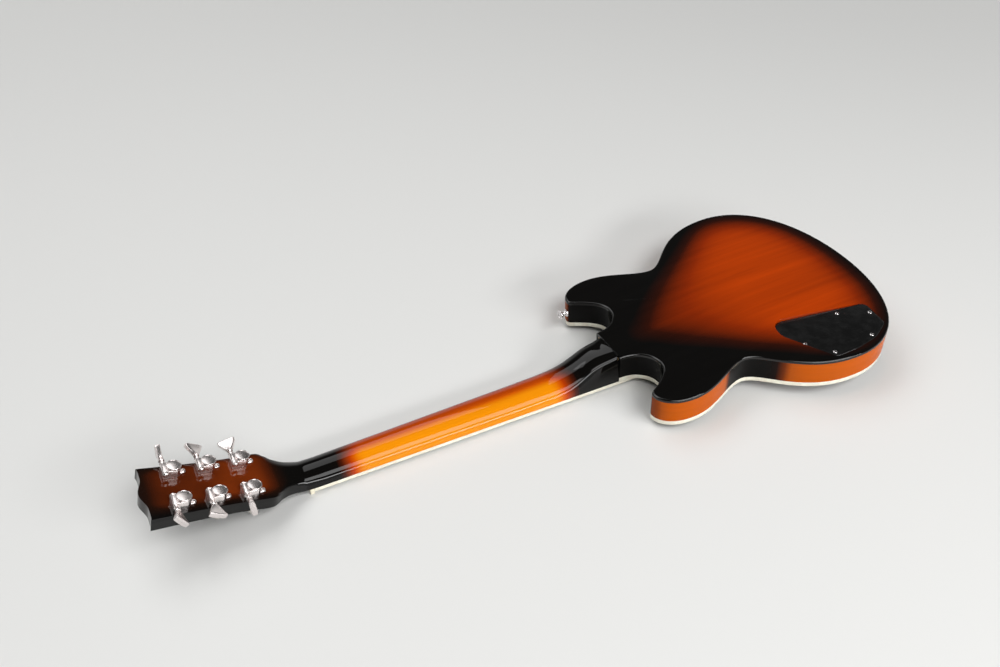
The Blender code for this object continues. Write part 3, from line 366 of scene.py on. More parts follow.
# %% [markdown]
# Everything else on the guitar is plastic, metal, bone or open-pored wood. Each gets at least a
# faint unevenness, because a perfectly even surface looks like no surface at all.

# %% Plastics, bone and plain wood


def moulded(name, colour, roughness, wear=0.06, coat=0.0):
    plastic = Finish(name)
    cloud = plastic.noise(90.0, plastic.place(), detail=4.0)
    lighter = tuple(min(1.0, c * 1.25 + 0.004) for c in colour[:3]) + (1.0,)
    return plastic.surface(
        base_color=plastic.mix(plastic.between(cloud, 0.35, 0.75), colour, lighter),
        roughness=roughness + (cloud - 0.5) * wear,
        coat_weight=coat,
        coat_roughness=0.05,
        normal=plastic.bump(plastic.noise(700.0, plastic.place()), 0.00001, 0.3),
    )


cream = moulded("cream_binding", shade(240, 233, 214), 0.3, coat=0.6)
black_plastic = moulded("black_plastic", shade(14, 14, 15), 0.2, wear=0.08, coat=0.3)
cover_plastic = moulded("cover_plastic", shade(15, 15, 15), 0.24, wear=0.1)
bone = moulded("bone", shade(235, 226, 204), 0.35)
switch_cream = moulded("switch_cream", shade(232, 216, 176), 0.28)
pearl = moulded("pearl", shade(222, 222, 214), 0.2, coat=0.8)


def open_wood(name, dark, light, scale, roughness):
    wood = Finish(name)
    streaks = wood.noise(1.0, wood.place(scale), detail=6.0, roughness=0.65)
    pores = wood.noise(1.0, wood.place((scale[0] * 2.5, scale[1] * 4, scale[2] * 4)), detail=2.0)
    open_pores = wood.between(pores, 0.58, 0.72)
    colour = wood.mix(wood.between(streaks, 0.3, 0.7), dark, light)
    return wood.surface(
        base_color=wood.mix(open_pores * 0.5, colour, dark),
        roughness=roughness + open_pores * 0.15,
        normal=wood.bump(1 - open_pores, 0.0001, 0.5),
    )


rosewood = open_wood("rosewood", shade(40, 24, 17), shade(86, 54, 36), (14.0, 220.0, 220.0), 0.42)
maple = open_wood("plain_maple", shade(196, 160, 112), shade(222, 190, 142), (10.0, 90.0, 90.0), 0.6)

# %% [markdown]
# Chrome has no colour of its own. It shows the room, so the only things to give it are its faint
# tint, how sharp it mirrors, and the soft cloud of fingermarks that every tuner collects.

# %% Metals


def metal(name, colour, roughness, smear=0.06):
    plate = Finish(name)
    marks = plate.noise(60.0, plate.place(), detail=5.0)
    hazed = plate.between(marks, 0.45, 0.75)
    darker = tuple(c * 0.86 for c in colour[:3]) + (1.0,)
    return plate.surface(
        base_color=plate.mix(hazed * 0.6, colour, darker),
        metallic=1.0,
        roughness=roughness + hazed * smear,
        normal=plate.bump(plate.noise(260.0, plate.place()), 0.000008, 0.3),
    )


chrome = metal("chrome", shade(226, 222, 222), 0.07)
worn_chrome = metal("worn_chrome", shade(232, 224, 222), 0.26, smear=0.12)
nickel = metal("nickel_steel", shade(206, 202, 196), 0.2, smear=0.12)
fret_wire = metal("fret_wire", shade(214, 212, 206), 0.14, smear=0.1)
string_steel = metal("string_steel", shade(214, 214, 216), 0.18)


def wound_string(name, colour):
    """Fine wrap wire shows as rings across the string, which runs along X, with painted shade in the grooves
    between the wraps.
    """
    wrap = Finish(name)
    rings = wrap.node("TexWave", {"wave_type": "BANDS", "bands_direction": "X", "wave_profile": "SIN"},
                      {"Vector": wrap.place(), "Scale": 450.0}, output="Fac")
    # Painted shade: the grooves between the wraps get a darker grey, and the crests keep the string's own colour.
    unshaded_crest = wrap.between(rings, 0.1, 0.6)
    return wrap.surface(
        base_color=wrap.mix(unshaded_crest, shade(96, 90, 82), colour),
        metallic=1.0,
        roughness=0.42 - unshaded_crest * 0.14,
        normal=wrap.bump(rings, 0.00006, 0.6),
    )


bronze = wound_string("wound_string", shade(206, 198, 186))
print(len(bpy.data.materials), "materials so far")

# %% [markdown]
# ## A few ways to model
#
# Every piece below starts from a primitive. Three helpers cover most of the guitar. `skin`
# stretches a grid over rings of points, for the neck, the sides and whatever else changes its
# section along the way. `turned` draws half a profile and spins it, for knobs, screws and posts.
# `slab` raises a flat outline and rounds its edges, for plates and covers.

# %% Helpers for selecting and placing


def clear_selection():
    if bpy.context.object and bpy.context.object.mode != "OBJECT":
        bpy.ops.object.mode_set(mode="OBJECT")
    bpy.ops.object.select_all(action="DESELECT")


def take(obj):
    clear_selection()
    obj.select_set(True)
    bpy.context.view_layer.objects.active = obj


def bevel_where(obj, width, test):
    """Rounds only the edges whose two ends pass the test. All are in millimetres."""
    take(obj)
    bpy.ops.object.mode_set(mode="EDIT")
    bpy.ops.mesh.select_mode(type="EDGE")
    bpy.ops.mesh.select_all(action="DESELECT")
    bpy.ops.object.mode_set(mode="OBJECT")
    for edge in obj.data.edges:
        edge.select = test(*(obj.data.vertices[i].co / MM for i in edge.vertices))
    bpy.ops.object.mode_set(mode="EDIT")
    bpy.ops.mesh.bevel(offset=width * MM, segments=2, affect="EDGES")
    bpy.ops.object.mode_set(mode="OBJECT")


def settle(obj, place=None):
    """Writes the object's place into its mesh, so that the object itself sits at the origin."""
    obj.data.transform((place or Matrix.Identity(4)) @ obj.matrix_basis)
    obj.matrix_basis = Matrix.Identity(4)
    return obj


def apply_modifier(obj, kind, **settings):
    take(obj)
    modifier = obj.modifiers.new(kind.lower(), kind)
    for key, value in settings.items():
        setattr(modifier, key, value)
    bpy.ops.object.modifier_apply(modifier=modifier.name)


def cut(obj, *cutters, operation="DIFFERENCE"):
    for cutter in cutters:
        apply_modifier(obj, "BOOLEAN", object=cutter, operation=operation, solver="EXACT")
        bpy.data.objects.remove(cutter, do_unlink=True)


def joined(first, *others):
    take(first)
    for other in others:
        other.select_set(True)
    bpy.ops.object.join()
    return first


def copy_of(obj, place=None):
    made = obj.copy()
    made.data = obj.data.copy()
    bpy.context.scene.collection.objects.link(made)
    return settle(made, place)


def closed_up(obj, fill):
    """Welds the seams, closes the ends and turns every face outwards. The object is in edit mode."""
    bpy.ops.mesh.select_all(action="SELECT")
    bpy.ops.mesh.remove_doubles(threshold=1e-6)
    if fill:
        bpy.ops.mesh.fill_holes(sides=0)
    bpy.ops.mesh.select_all(action="SELECT")
    bpy.ops.mesh.normals_make_consistent(inside=False)
    bpy.ops.object.mode_set(mode="OBJECT")
    return obj


def bevelled(obj, width, segments=2, angle=50):
    """Rounds every edge sharper than the angle, by a width in millimetres."""
    apply_modifier(obj, "BEVEL", width=width * MM, segments=segments, limit_method="ANGLE",
                   angle_limit=math.radians(angle), harden_normals=False)
    return obj


# %% Helpers for making shapes


def skin(rings, fill=True):
    """A grid with a row for each ring of points, moved onto the rings."""
    clear_selection()
    rows = [[*ring, ring[0]] for ring in rings]
    bpy.ops.mesh.primitive_grid_add(x_subdivisions=len(rows[0]) - 1, y_subdivisions=len(rows) - 1, size=1)
    obj = bpy.context.object
    obj.data.vertices.foreach_set("co", np.array(rows, np.float32).ravel())
    bpy.ops.object.mode_set(mode="EDIT")
    return closed_up(obj, fill)


def draw(points):
    """One vertex pushed from point to point, in millimetres, like a pen. It stays in edit mode."""
    clear_selection()
    points = [Vector(point) * MM for point in points]
    bpy.ops.mesh.primitive_plane_add(size=MM)
    bpy.ops.object.mode_set(mode="EDIT")
    bpy.ops.mesh.select_mode(type="VERT")
    bpy.ops.mesh.merge(type="CENTER")
    bpy.ops.transform.translate(value=points[0])
    for before, here in zip(points, points[1:]):
        bpy.ops.mesh.extrude_region_move(TRANSFORM_OT_translate={"value": here - before})
    return bpy.context.object


def turned(profile, segments=48):
    """Spins (radius, height) pairs in millimetres round Z."""
    obj = draw([(r, 0, h) for r, h in profile])
    if profile[0][0] > 0:
        bpy.ops.mesh.select_all(action="SELECT")
        bpy.ops.mesh.edge_face_add()
        bpy.ops.mesh.delete(type="ONLY_FACE")
    bpy.ops.mesh.select_all(action="SELECT")
    bpy.ops.mesh.spin(steps=segments, angle=2 * math.pi, center=(0, 0, 0), axis=(0, 0, 1))
    return closed_up(obj, False)


def slab(outline, low, high, edge=0.0):
    """A flat outline, (x, y) points in millimetres, raised from low to high, its edges rounded."""
    obj = draw([(x, y, low) for x, y in outline])
    bpy.ops.mesh.select_all(action="SELECT")
    bpy.ops.mesh.edge_face_add()
    bpy.ops.mesh.extrude_region_move(TRANSFORM_OT_translate={"value": (0, 0, (high - low) * MM)})
    closed_up(obj, False)
    return bevelled(obj, edge, 3) if edge else obj


def block(length, width, height, place):
    """A box with its middle at a place."""
    bpy.ops.mesh.primitive_cube_add(size=1)
    return settle(bpy.context.object, place @ Matrix.Diagonal((length * MM, width * MM, height * MM, 1)))


def rounded(corners, steps=8):
    """The outline through (x, y, radius) corners in millimetres, each corner an arc."""
    points = []
    for before, here, after in zip(corners[-1:] + corners[:-1], corners, corners[1:] + corners[:1]):
        at = Vector(here[:2])
        back = (Vector(before[:2]) - at).normalized()
        ahead = (Vector(after[:2]) - at).normalized()
        half_angle = back.angle(ahead) / 2
        middle = at + (back + ahead).normalized() * here[2] / math.sin(half_angle)
        start = at + back * here[2] / math.tan(half_angle) - middle
        sweep = start.angle_signed(at + ahead * here[2] / math.tan(half_angle) - middle)
        for i in range(steps + 1):
            points.append(middle + Matrix.Rotation(-sweep * i / steps, 2) @ start)
    return [tuple(p) for p in points]


def rectangle(length, width, radius, steps=6):
    x, y = length / 2, width / 2
    return rounded([(x, -y, radius), (x, y, radius), (-x, y, radius), (-x, -y, radius)], steps)


def dressed(obj, name, material, node=None, smooth=40):
    """Names a finished piece, shades it and paints it with the given finish. It rides on the body that
    bears the name of the solid it stands for, if there is one, or else on the guitar's body; that solid is hidden."""
    take(obj)
    bpy.ops.object.shade_smooth_by_angle(angle=math.radians(smooth))
    obj.name = obj.data.name = name
    obj.data.materials.clear()
    obj.data.materials.append(material)
    body = node if node in frame["bodies"] else "guitar"
    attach(obj, body)
    if node:
        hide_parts(node)
    clear_selection()
    return obj


def paint(obj, name, values):
    """Stores one number for each point of the mesh."""
    layer = obj.data.attributes.new(name, "FLOAT", "POINT")
    layer.data.foreach_set("value", np.asarray(values, np.float32))


def places(obj, frame_of):
    """The mesh's points in millimetres as an array, seen from a frame of the guitar."""
    points = np.empty(len(obj.data.vertices) * 3, np.float32)
    obj.data.vertices.foreach_get("co", points)
    back = np.array(frame_of.inverted())
    return (points.reshape(-1, 3).astype(float) @ back[:3, :3].T + back[:3, 3]) / MM


def ease(value, low, high):
    """0 below low, 1 above high, and smooth between."""
    t = np.clip((value - low) / (high - low), 0, 1)
    return t * t * (3 - 2 * t)


# %% [markdown]
# ## The guitar's own frames
#
# The neck lies level. The headstock tilts back from it by 15 degrees, and the body is set at a
# small pitch, so each has a frame of its own. A piece is modelled square in its frame and then
# settled, which writes its place into its mesh.

# %% Frames and driving sizes
NUT_X, NUT_LENGTH = -310.9, 5.0
NECK_JOINT_X, BOARD_END_X = 405.0, 457.0
SCALE_LENGTH = 628.0
FRETS = 22
NECK_FACE_Z = 7.6
HEAD_TILT = math.radians(15.24)
BODY_PITCH = math.radians(2.58)


def at(x, y=0.0, z=0.0):
    """A shift in millimetres."""
    return Matrix.Translation((x * MM, y * MM, z * MM))


def turn(degrees, axis):
    return Matrix.Rotation(math.radians(degrees), 4, axis)


GUITAR = at(NUT_X)
BODY = at(NUT_X + NECK_JOINT_X, 0, NECK_FACE_Z) @ Matrix.Rotation(-BODY_PITCH, 4, "Y")
HEAD = at(NUT_X - NUT_LENGTH, 0, NECK_FACE_Z) @ Matrix.Rotation(HEAD_TILT, 4, "Y")
UNDER = turn(180, "X")
print("the body starts", round(NECK_JOINT_X), "mm and the board ends", round(BOARD_END_X), "mm from the nut")

# %% [markdown]
# ## The body's outline
#
# Both plates, the sides and the bindings follow one curve, so it is drawn once: eight knots from
# the neck to the tail, each with a heading and the lengths of its two handles, like the pins and
# handles of a pen tool. The treble half mirrors the bass half.

# %% Outline
OUTLINE = [
    ((2.5, 28.6), 0, 0, 22),
    ((41.0, 60.0), 90, 18, 13),
    ((10.0, 93.8), 151, 22, 5),
    ((1.2, 103.0), 90, 5, 12),
    ((47.0, 131.2), 0, 32, 36),
    ((135.8, 105.2), 0, 24, 28),
    ((269.5, 169.84), 0, 84, 75),
    ((388.0, 0.0), -90, 96, 0),
]
STEPS_A_SPAN = 24
RIM_DEPTH = 41.0


def heading_of(degrees):
    return Vector((math.cos(math.radians(degrees)), math.sin(math.radians(degrees))))


def half_outline():
    """(place, inward normal) pairs in millimetres, from the neck to the tail on the bass side."""
    made = []
    for (p, turn_p, _, out), (q, turn_q, into, _) in zip(OUTLINE, OUTLINE[1:]):
        p, q = Vector(p), Vector(q)
        a, b = p + out * heading_of(turn_p), q - into * heading_of(turn_q)
        for i in range(STEPS_A_SPAN):
            t = max(i / STEPS_A_SPAN, 1e-4)
            s = 1 - t
            place = s**3 * p + 3 * s * s * t * a + 3 * s * t * t * b + t**3 * q
            ahead = (s * s * (a - p) + 2 * s * t * (b - a) + t * t * (q - b)).normalized()
            made.append((place, Vector((ahead.y, -ahead.x))))
    return made + [(Vector(OUTLINE[-1][0]), Vector((-1, 0)))]


bass_half = half_outline()
outline = bass_half + [(Vector((p.x, -p.y)), Vector((n.x, -n.y))) for p, n in reversed(bass_half[:-1])]
lengths = np.cumsum([0.0] + [(q[0] - p[0]).length for p, q in zip(bass_half, bass_half[1:])])
print(len(outline), "outline points,", round(lengths[-1]), "mm along each half")

# %% [markdown]
# ## The back plate
#
# The back is pressed from laminate: it rises 4 mm from the rim to the middle. Its level lines are
# one curve drawn in towards a centre, rounder with each step. Behind the waist that curve is the
# outline. Ahead of it the curve turns into an ellipse that passes inside the cutaways, so the horns
# stay flat and no crease runs out from the corners. On this guitar the back has no binding, so its
# edge is simply rounded.

# %% Arched plates
BACK_ARCH = 4.0
FACE_ARCH = 3.5
ARCH_CENTRE = Vector((195, 0))
LEVELS = 36
ARCH_FRONT, ARCH_SIDE, ARCH_TAIL, ARCH_ROUND = 140.0, 260.0, 420.0, 165.0


def level_point(place, t):
    """A point of the level line t, on the ray from the arch's centre through a place on the outline."""
    ray = place - ARCH_CENTRE
    heading = ray.normalized()
    length = ARCH_FRONT if heading.x < 0 else ARCH_TAIL
    ellipse = ((heading.x / length) ** 2 + (heading.y / ARCH_SIDE) ** 2) ** -0.5
    start = (ray.length**-8 + ellipse**-8) ** -0.125
    return ARCH_CENTRE + heading * t * (start * t + ARCH_ROUND * (1 - t))


def arched_plate(edge_inset, edge_w, inside_w, rise, round_over):
    """Closed plate: flat inside, arched outside, its outer edge rounded by round_over."""
    corner = outline[0][0]
    front = [(Vector((corner.x, corner.y * k / 4)), Vector((0.15, 0))) for k in range(-3, 4)]
    ring = [(p + edge_inset * n, n) for p, n in outline + front]
    outwards = 1 if edge_w > inside_w else -1
    rings = [[(*ARCH_CENTRE, inside_w) for _ in ring], [(*p, inside_w) for p, _ in ring]]
    for degrees in range(0, 90, 15) if round_over else []:
        drop = round_over * (1 - math.sin(math.radians(degrees)))
        step = round_over * (1 - math.cos(math.radians(degrees)))
        rings.append([(*(p + step * n), edge_w - outwards * drop) for p, n in ring])
    rings.append([(*(p + round_over * n), edge_w) for p, n in ring])
    for i in range(LEVELS + 1):
        t = 1 - (i / LEVELS) ** 1.4
        level = edge_w + rise * (1 - t**3) ** 1.5
        rings.append([(*level_point(p + round_over * n, t), level) for p, n in ring])
    return skin([[Vector(point) * MM for point in ring] for ring in rings], fill=False)


# %% [markdown]
# The burst is painted from geometry too. A second curve says where the colour has half gone, and
# the distance of each point to that curve gives the burst value, with a wide soft edge towards the
# neck and a tighter one along the lower bout.

# %% Burst edge
BURST_EDGE = [
    (52, 0), (70, 22), (100, 46), (150, 79), (200, 112), (235, 140), (262, 152), (290, 151),
    (318, 138), (343, 112), (359, 78), (367, 38), (368, 0),
]


def burst_line():
    """The burst's edge as a closed, smooth chain of points, by averaging between knots."""
    chain = np.array(BURST_EDGE + [(u, -v) for u, v in reversed(BURST_EDGE[1:-1])], float)
    for _ in range(3):
        after = np.roll(chain, -1, axis=0)
        chain = np.stack([0.75 * chain + 0.25 * after, 0.25 * chain + 0.75 * after], axis=1).reshape(-1, 2)
    return chain


def inside_distance(points, chain):
    """How far each point lies inside a closed chain, negative outside it."""
    a, b = chain, np.roll(chain, -1, axis=0)
    ab = b - a
    best = np.full(len(points), 1e9)
    inside = np.zeros(len(points), bool)
    for start, step, end in zip(a, ab, b):
        t = np.clip(((points - start) @ step) / (step @ step), 0, 1)
        best = np.minimum(best, np.hypot(*(points - start - t[:, None] * step).T))
        crosses = (start[1] > points[:, 1]) != (end[1] > points[:, 1])
        with np.errstate(divide="ignore", invalid="ignore"):
            reach = start[0] + (points[:, 1] - start[1]) * step[0] / step[1]
        inside ^= crosses & (points[:, 0] < reach)
    return np.where(inside, best, -best)


def plate_burst(obj):
    local = places(obj, BODY)
    depth = inside_distance(local[:, :2], burst_line())
    softness = 26 + 10 * (1 - ease(local[:, 0], 60, 250))
    near_edge = 0.5 + 0.5 * np.tanh((depth - 5) / softness)
    glow = 0.62 + 0.38 * ease(local[:, 0], 60, 230)
    return near_edge * glow


# %% Control cover outline
COVER_CORNERS = [
    (203.0, -68.5, 17), (201.5, -98.0, 22), (238.0, -160.0, 8), (270.0, -160.5, 60),
    (305.0, -155.5, 60), (333.0, -140.5, 8), (338.5, -97.5, 9),
]
cover_edge = rounded(COVER_CORNERS)


def drawn_in(points, distance):
    """An outline of (x, y) points moved inwards by a distance."""
    made = []
    for before, here, after in zip(points[-1:] + points[:-1], points, points[1:] + points[:1]):
        along = (Vector(after) - Vector(before)).normalized()
        made.append((here[0] - along.y * distance, here[1] + along.x * distance))
    return made


print("cover outline:", len(cover_edge), "points")


# %% Back plate
PLATE_THICK, EDGE_ROUND = 4.0, 2.4
COVER_GAP, RECESS_DEPTH, RECESS_LEDGE, RECESS_BEVEL = 0.35, 2.0, 6.0, 0.35

back = arched_plate(0.0, RIM_DEPTH, RIM_DEPTH - PLATE_THICK, BACK_ARCH, EDGE_ROUND)
recess_edge = drawn_in(cover_edge, -COVER_GAP)
cut(back, slab(recess_edge, RIM_DEPTH - RECESS_DEPTH, 60))


def on_recess_edge(*ends):
    """True for an edge of the back's outside that lies on the recess's outline."""
    outside = all(w > RIM_DEPTH - 0.5 for _, _, w in ends)
    return outside and all(min(math.hypot(u - x, v - y) for x, y in recess_edge) < 0.05 for u, v, _ in ends)


bevel_where(back, RECESS_BEVEL, on_recess_edge)
cut(back, slab(drawn_in(cover_edge, RECESS_LEDGE), 20, 50))
settle(back, BODY)
paint(back, "burst", plate_burst(back))
dressed(back, "back_plate", back_lacquer, "body_back")
print("back plate:", len(back.data.polygons), "faces")

# %% [markdown]
# ## Sides and binding
#
# The sides are thin strips bent to the outline. The colour on them is sprayed in patches: amber on
# the outside of each horn and round the lower bout, black in the cutaways and at the waist. A
# thick cream binding covers the joint with the face.

# %% Sides and top binding
TOP_BINDING_HEIGHT = 6.3
RIM_WALL = 4.5
FACE_INSET, FACE_THICK, SEAM = 2.3, 3.8, 0.02


def swept(steps):
    """A profile of (inset, height) points carried round the outline."""
    rings = [[Vector((*(p + off * n), w)) * MM for off, w in steps] for p, n in outline]
    rings.append(rings[0])
    return skin(rings, fill=False)


sides_low, sides_high, face_seat = TOP_BINDING_HEIGHT + SEAM, RIM_DEPTH - PLATE_THICK - SEAM, FACE_THICK + 0.3
sides = swept([
    (0, sides_low), (0, sides_high), (RIM_WALL, sides_high),
    (RIM_WALL, face_seat), (FACE_INSET, face_seat), (FACE_INSET, sides_low),
])
settle(sides, BODY)


def side_burst(obj):
    """Amber outside the horns and round the lower bout; black at the waist and in the cutaways."""
    u, v, _ = places(obj, BODY).T
    outside = ease(np.abs(v), 97, 103)
    horn = (0.55 + 0.45 * ease(u, 1, 14)) * (1 - ease(u, 92, 118)) * outside
    bout = ease(u, 160, 198)
    return np.maximum(horn, bout)


paint(sides, "burst", side_burst(sides))
dressed(sides, "bent_sides", rim_lacquer, "body_sides", 32)
binding = settle(swept([
    (0.5, 0.0), (0.12, 0.15), (0.0, 0.5), (0.0, TOP_BINDING_HEIGHT), (2.0, TOP_BINDING_HEIGHT), (2.0, 0.0),
]), BODY)
dressed(binding, "face_binding", cream, "top_binding", 32)
print("sides:", len(sides.data.polygons), "faces, binding:", len(binding.data.polygons))

# %% [markdown]
# ## Neck and headstock
#
# Seen from behind, the neck is a half ellipse that swells into a square heel at one end and into
# the flat headstock at the other. Its rings are written as a few rows of sizes, and a smooth curve
# through those rows gives the many rings in between.

# %% Neck
# A row of the headstock is (distance from the nut, half width, depth, squareness).
HEAD_ROWS = [
    (190, 41.4, 14.6, 1), (178, 40.6, 14.6, 1), (140, 38.0, 14.6, 1), (100, 36.4, 14.6, 1),
    (70, 36.6, 14.6, 1), (54, 37.4, 14.6, 1), (49, 37.3, 14.6, 1), (45, 36.1, 14.7, 0.95),
    (41, 33.4, 14.8, 0.85), (36, 29.4, 15.0, 0.7), (29, 25.6, 15.3, 0.5), (21, 23.0, 15.7, 0.3),
    (12, 21.9, 16.1, 0.15), (4, 21.5, 16.4, 0.05),
]
# Along the shaft the board gives the width, so a row is (distance, depth, squareness).
SHAFT_ROWS = [
    (12, 16.4, 0), (100, 16.5, 0), (200, 16.8, 0), (290, 17.1, 0), (322, 17.9, 0.02), (338, 20.2, 0.06),
    (350, 24.0, 0.12), (360, 28.4, 0.2), (369, 32.6, 0.27), (378, 35.9, 0.34), (388, 37.7, 0.4),
    (398, 39.0, 0.45), (405, 40.2, 0.5), (411, 40.8, 0.54),
]
HEAD_END, HEAD_CROWN, EAR_FLICK = 178.2, 6.0, 1.2
HEAD_LACQUER_FROM = NUT_X - 8
NUT_HALF_WIDTH, LAST_FRET_HALF_WIDTH = 21.5, 28.5


def smooth_rows(rows, steps):
    """Rows in between the given ones, on a curve that passes through each."""
    rows = np.array(rows, float)
    keys, values = rows[:, 0], rows[:, 1:]
    slopes = np.gradient(values, keys, axis=0)
    made = []
    for k in range(len(rows) - 1):
        span = keys[k + 1] - keys[k]
        count = max(2, round(abs(span) / steps))
        for i in range(count):
            t = i / count
            h = (2 * t**3 - 3 * t**2 + 1, t**3 - 2 * t**2 + t, 3 * t**2 - 2 * t**3, t**3 - t**2)
            terms = (values[k], span * slopes[k], values[k + 1], span * slopes[k + 1])
            made.append((keys[k] + span * t, *sum(share * term for share, term in zip(h, terms))))
    return made + [tuple(rows[-1])]


def fret_x(number):
    return SCALE_LENGTH * (1 - 2 ** (-number / 12))


def board_half_width(x):
    return NUT_HALF_WIDTH + (LAST_FRET_HALF_WIDTH - NUT_HALF_WIDTH) * x / fret_x(FRETS)


def neck_section(half_width, depth, square):
    """(y, depth) round the neck: an ellipse that squares up towards a block, then the flat face."""
    count, chamfer = 36, 1.1
    corners = [(-half_width, 0), (-half_width, depth - chamfer), (-half_width + chamfer, depth)]
    corners += [(-y, d) for y, d in reversed(corners)]
    spans = [(Vector(q) - Vector(p)).length for p, q in zip(corners, corners[1:])]
    made = []
    for i in range(count + 1):
        angle = math.pi * i / count
        reach = sum(spans) * i / count
        k = 0
        while k < len(spans) - 1 and reach > spans[k]:
            reach -= spans[k]
            k += 1
        boxy = Vector(corners[k]).lerp(Vector(corners[k + 1]), min(1.0, reach / spans[k]))
        oval = Vector((-half_width * math.cos(angle), depth * math.sin(angle)))
        made.append(oval.lerp(boxy, square))
    return made + [Vector((half_width * (1 - k / 6), 0)) for k in range(1, 12)]


def head_ring(along, half_width, depth, square):
    return [HEAD @ (Vector((-along, y, d)) * MM) for y, d in neck_section(half_width, depth, square)]


def head_end(y):
    """The headstock's end: a low crown in the middle and a small flick at each ear."""
    crown = HEAD_CROWN * math.cos(math.pi * min(abs(y), 24) / 48) ** 2
    return HEAD_END + crown + EAR_FLICK * (max(0.0, abs(y) - 33) / 8) ** 2


def neck_ring(x, depth, square):
    lean = math.tan(BODY_PITCH) * max(0.0, (x - 380) / 25)
    return [
        GUITAR @ (Vector((x - lean * d, y, NECK_FACE_Z + d)) * MM)
        for y, d in neck_section(board_half_width(x), depth, square)
    ]


rings = [head_ring(*row) for row in smooth_rows(HEAD_ROWS, 4)]
rings += [neck_ring(*row) for row in smooth_rows(SHAFT_ROWS, 3.5)]
neck = skin(rings)
past_end = [(-head_end(y), y) for y in range(-44, 45)] + [(-220, 44), (-220, -44)]
cut(neck, settle(slab(past_end, -5, 20), HEAD))


def neck_burst_and_painted_light(obj):
    """Open amber along the shaft, dark at both ends, painted lighter on the treble side and darker at the bass
    edge as painted light and shade, and a red-brown pool on the headstock.
    """
    shaft_x, shaft_y, _ = places(obj, GUITAR).T
    head_x, head_y, head_z = places(obj, HEAD).T
    along = ease(shaft_x, 22, 68) * (1 - ease(shaft_x, 312, 362))
    # Painted light: the treble side, which faces the lamps, is painted lighter and the bass edge darker, on top of
    # the burst.
    across = 0.67 + 0.33 * ease(-shaft_y, -5, 10) - 0.13 * ease(shaft_y, 8, 22)
    pool = 0.84 * ease(-head_x, 22, 60) * (1 - 0.25 * ease(-head_x, 80, 130))
    pool *= (1 - 0.85 * ease(-head_x, 150, 190)) * ease(head_z, 12, 14)
    pool *= (1 - 0.9 * ease(head_y, 26, 43)) * (1 - ease(-head_y, 16, 39))
    return np.where(shaft_x > 0, along * across, pool)


paint(neck, "burst", neck_burst_and_painted_light(neck))
dressed(neck, "neck_and_heel", neck_lacquer, "neck", 38)
neck.data.materials.append(head_lacquer)
for face in neck.data.polygons:
    if face.center.x < HEAD_LACQUER_FROM * MM:
        face.material_index = 1
print("neck:", len(neck.data.polygons), "faces")

# %% [markdown]
# ## Screws
#
# One dome-headed screw with a cross slot serves everywhere. It is cut once, and each place gets a
# copy scaled to its size.

# %% A dome-headed screw


def screw_head():
    """A head of radius 1 mm and rise 0.4 mm, to be scaled."""
    head = turned([(0, -0.3), (0.9, -0.3), (1.0, 0.0), (0.97, 0.12), (0.8, 0.27), (0.5, 0.37), (0, 0.4)], 28)
    for degrees in (45, 135):
        cut(head, block(1.15, 0.2, 0.3, at(0, 0, 0.35) @ turn(degrees, "Z")))
    return head


pattern_screw = screw_head()


def screws(name, spots, material=chrome):
    """A set of screws, each given as (place, radius in millimetres)."""
    heads = [copy_of(pattern_screw, place @ Matrix.Scale(radius, 4)) for place, radius in spots]
    return dressed(joined(*heads), name, material, smooth=50)


# %% [markdown]
# ## Control cover
#
# The cover drops into a step in the back. Its rim is bevelled, and five screws hold it.

# %% Control cover
COVER_TOP = RIM_DEPTH + 0.7
COVER_SCREWS = [(293, -96), (331, -115.5), (302, -150), (240, -152), (217.5, -122.5)]

cover = settle(slab(cover_edge, RIM_DEPTH - 1.8, COVER_TOP, 0.9), BODY)
dressed(cover, "control_cover_plate", cover_plastic, "control_cover", 50)
screws("cover_screws", [(BODY @ at(u, v, COVER_TOP) @ turn(37 * u, "Z"), 2.7) for u, v in COVER_SCREWS])

# %% [markdown]
# ## Tuners
#
# A sealed tuner is a round cup run together with a flat-sided case that arches over the worm. The
# worm's shaft comes out through a barrel and carries the button, and a domed cap closes its inner
# end. The bass side is modelled once, and the treble side is its mirror image.

# %% Tuner housing
TUNER_ALONG = (68.0, 105.5, 143.0)
TUNER_SIDE = 24.5
HEAD_BACK = 14.6
WORM_AHEAD, WORM_N, CASE_ROUND = 9.5, HEAD_BACK + 6.9, 3.3
SHAFT_START = 35.1
FOOT_TOP, SCREW_X = HEAD_BACK + 2.5, 10.2
AS_ROUND_AS_FITS = 400.0  # Blender clamps a bevel to the widest that the piece allows


def arc(centre, radius, start, end, steps):
    angles = [math.radians(start + (end - start) * i / steps) for i in range(steps + 1)]
    return [(centre[0] + radius * math.cos(a), centre[1] + radius * math.sin(a)) for a in angles]


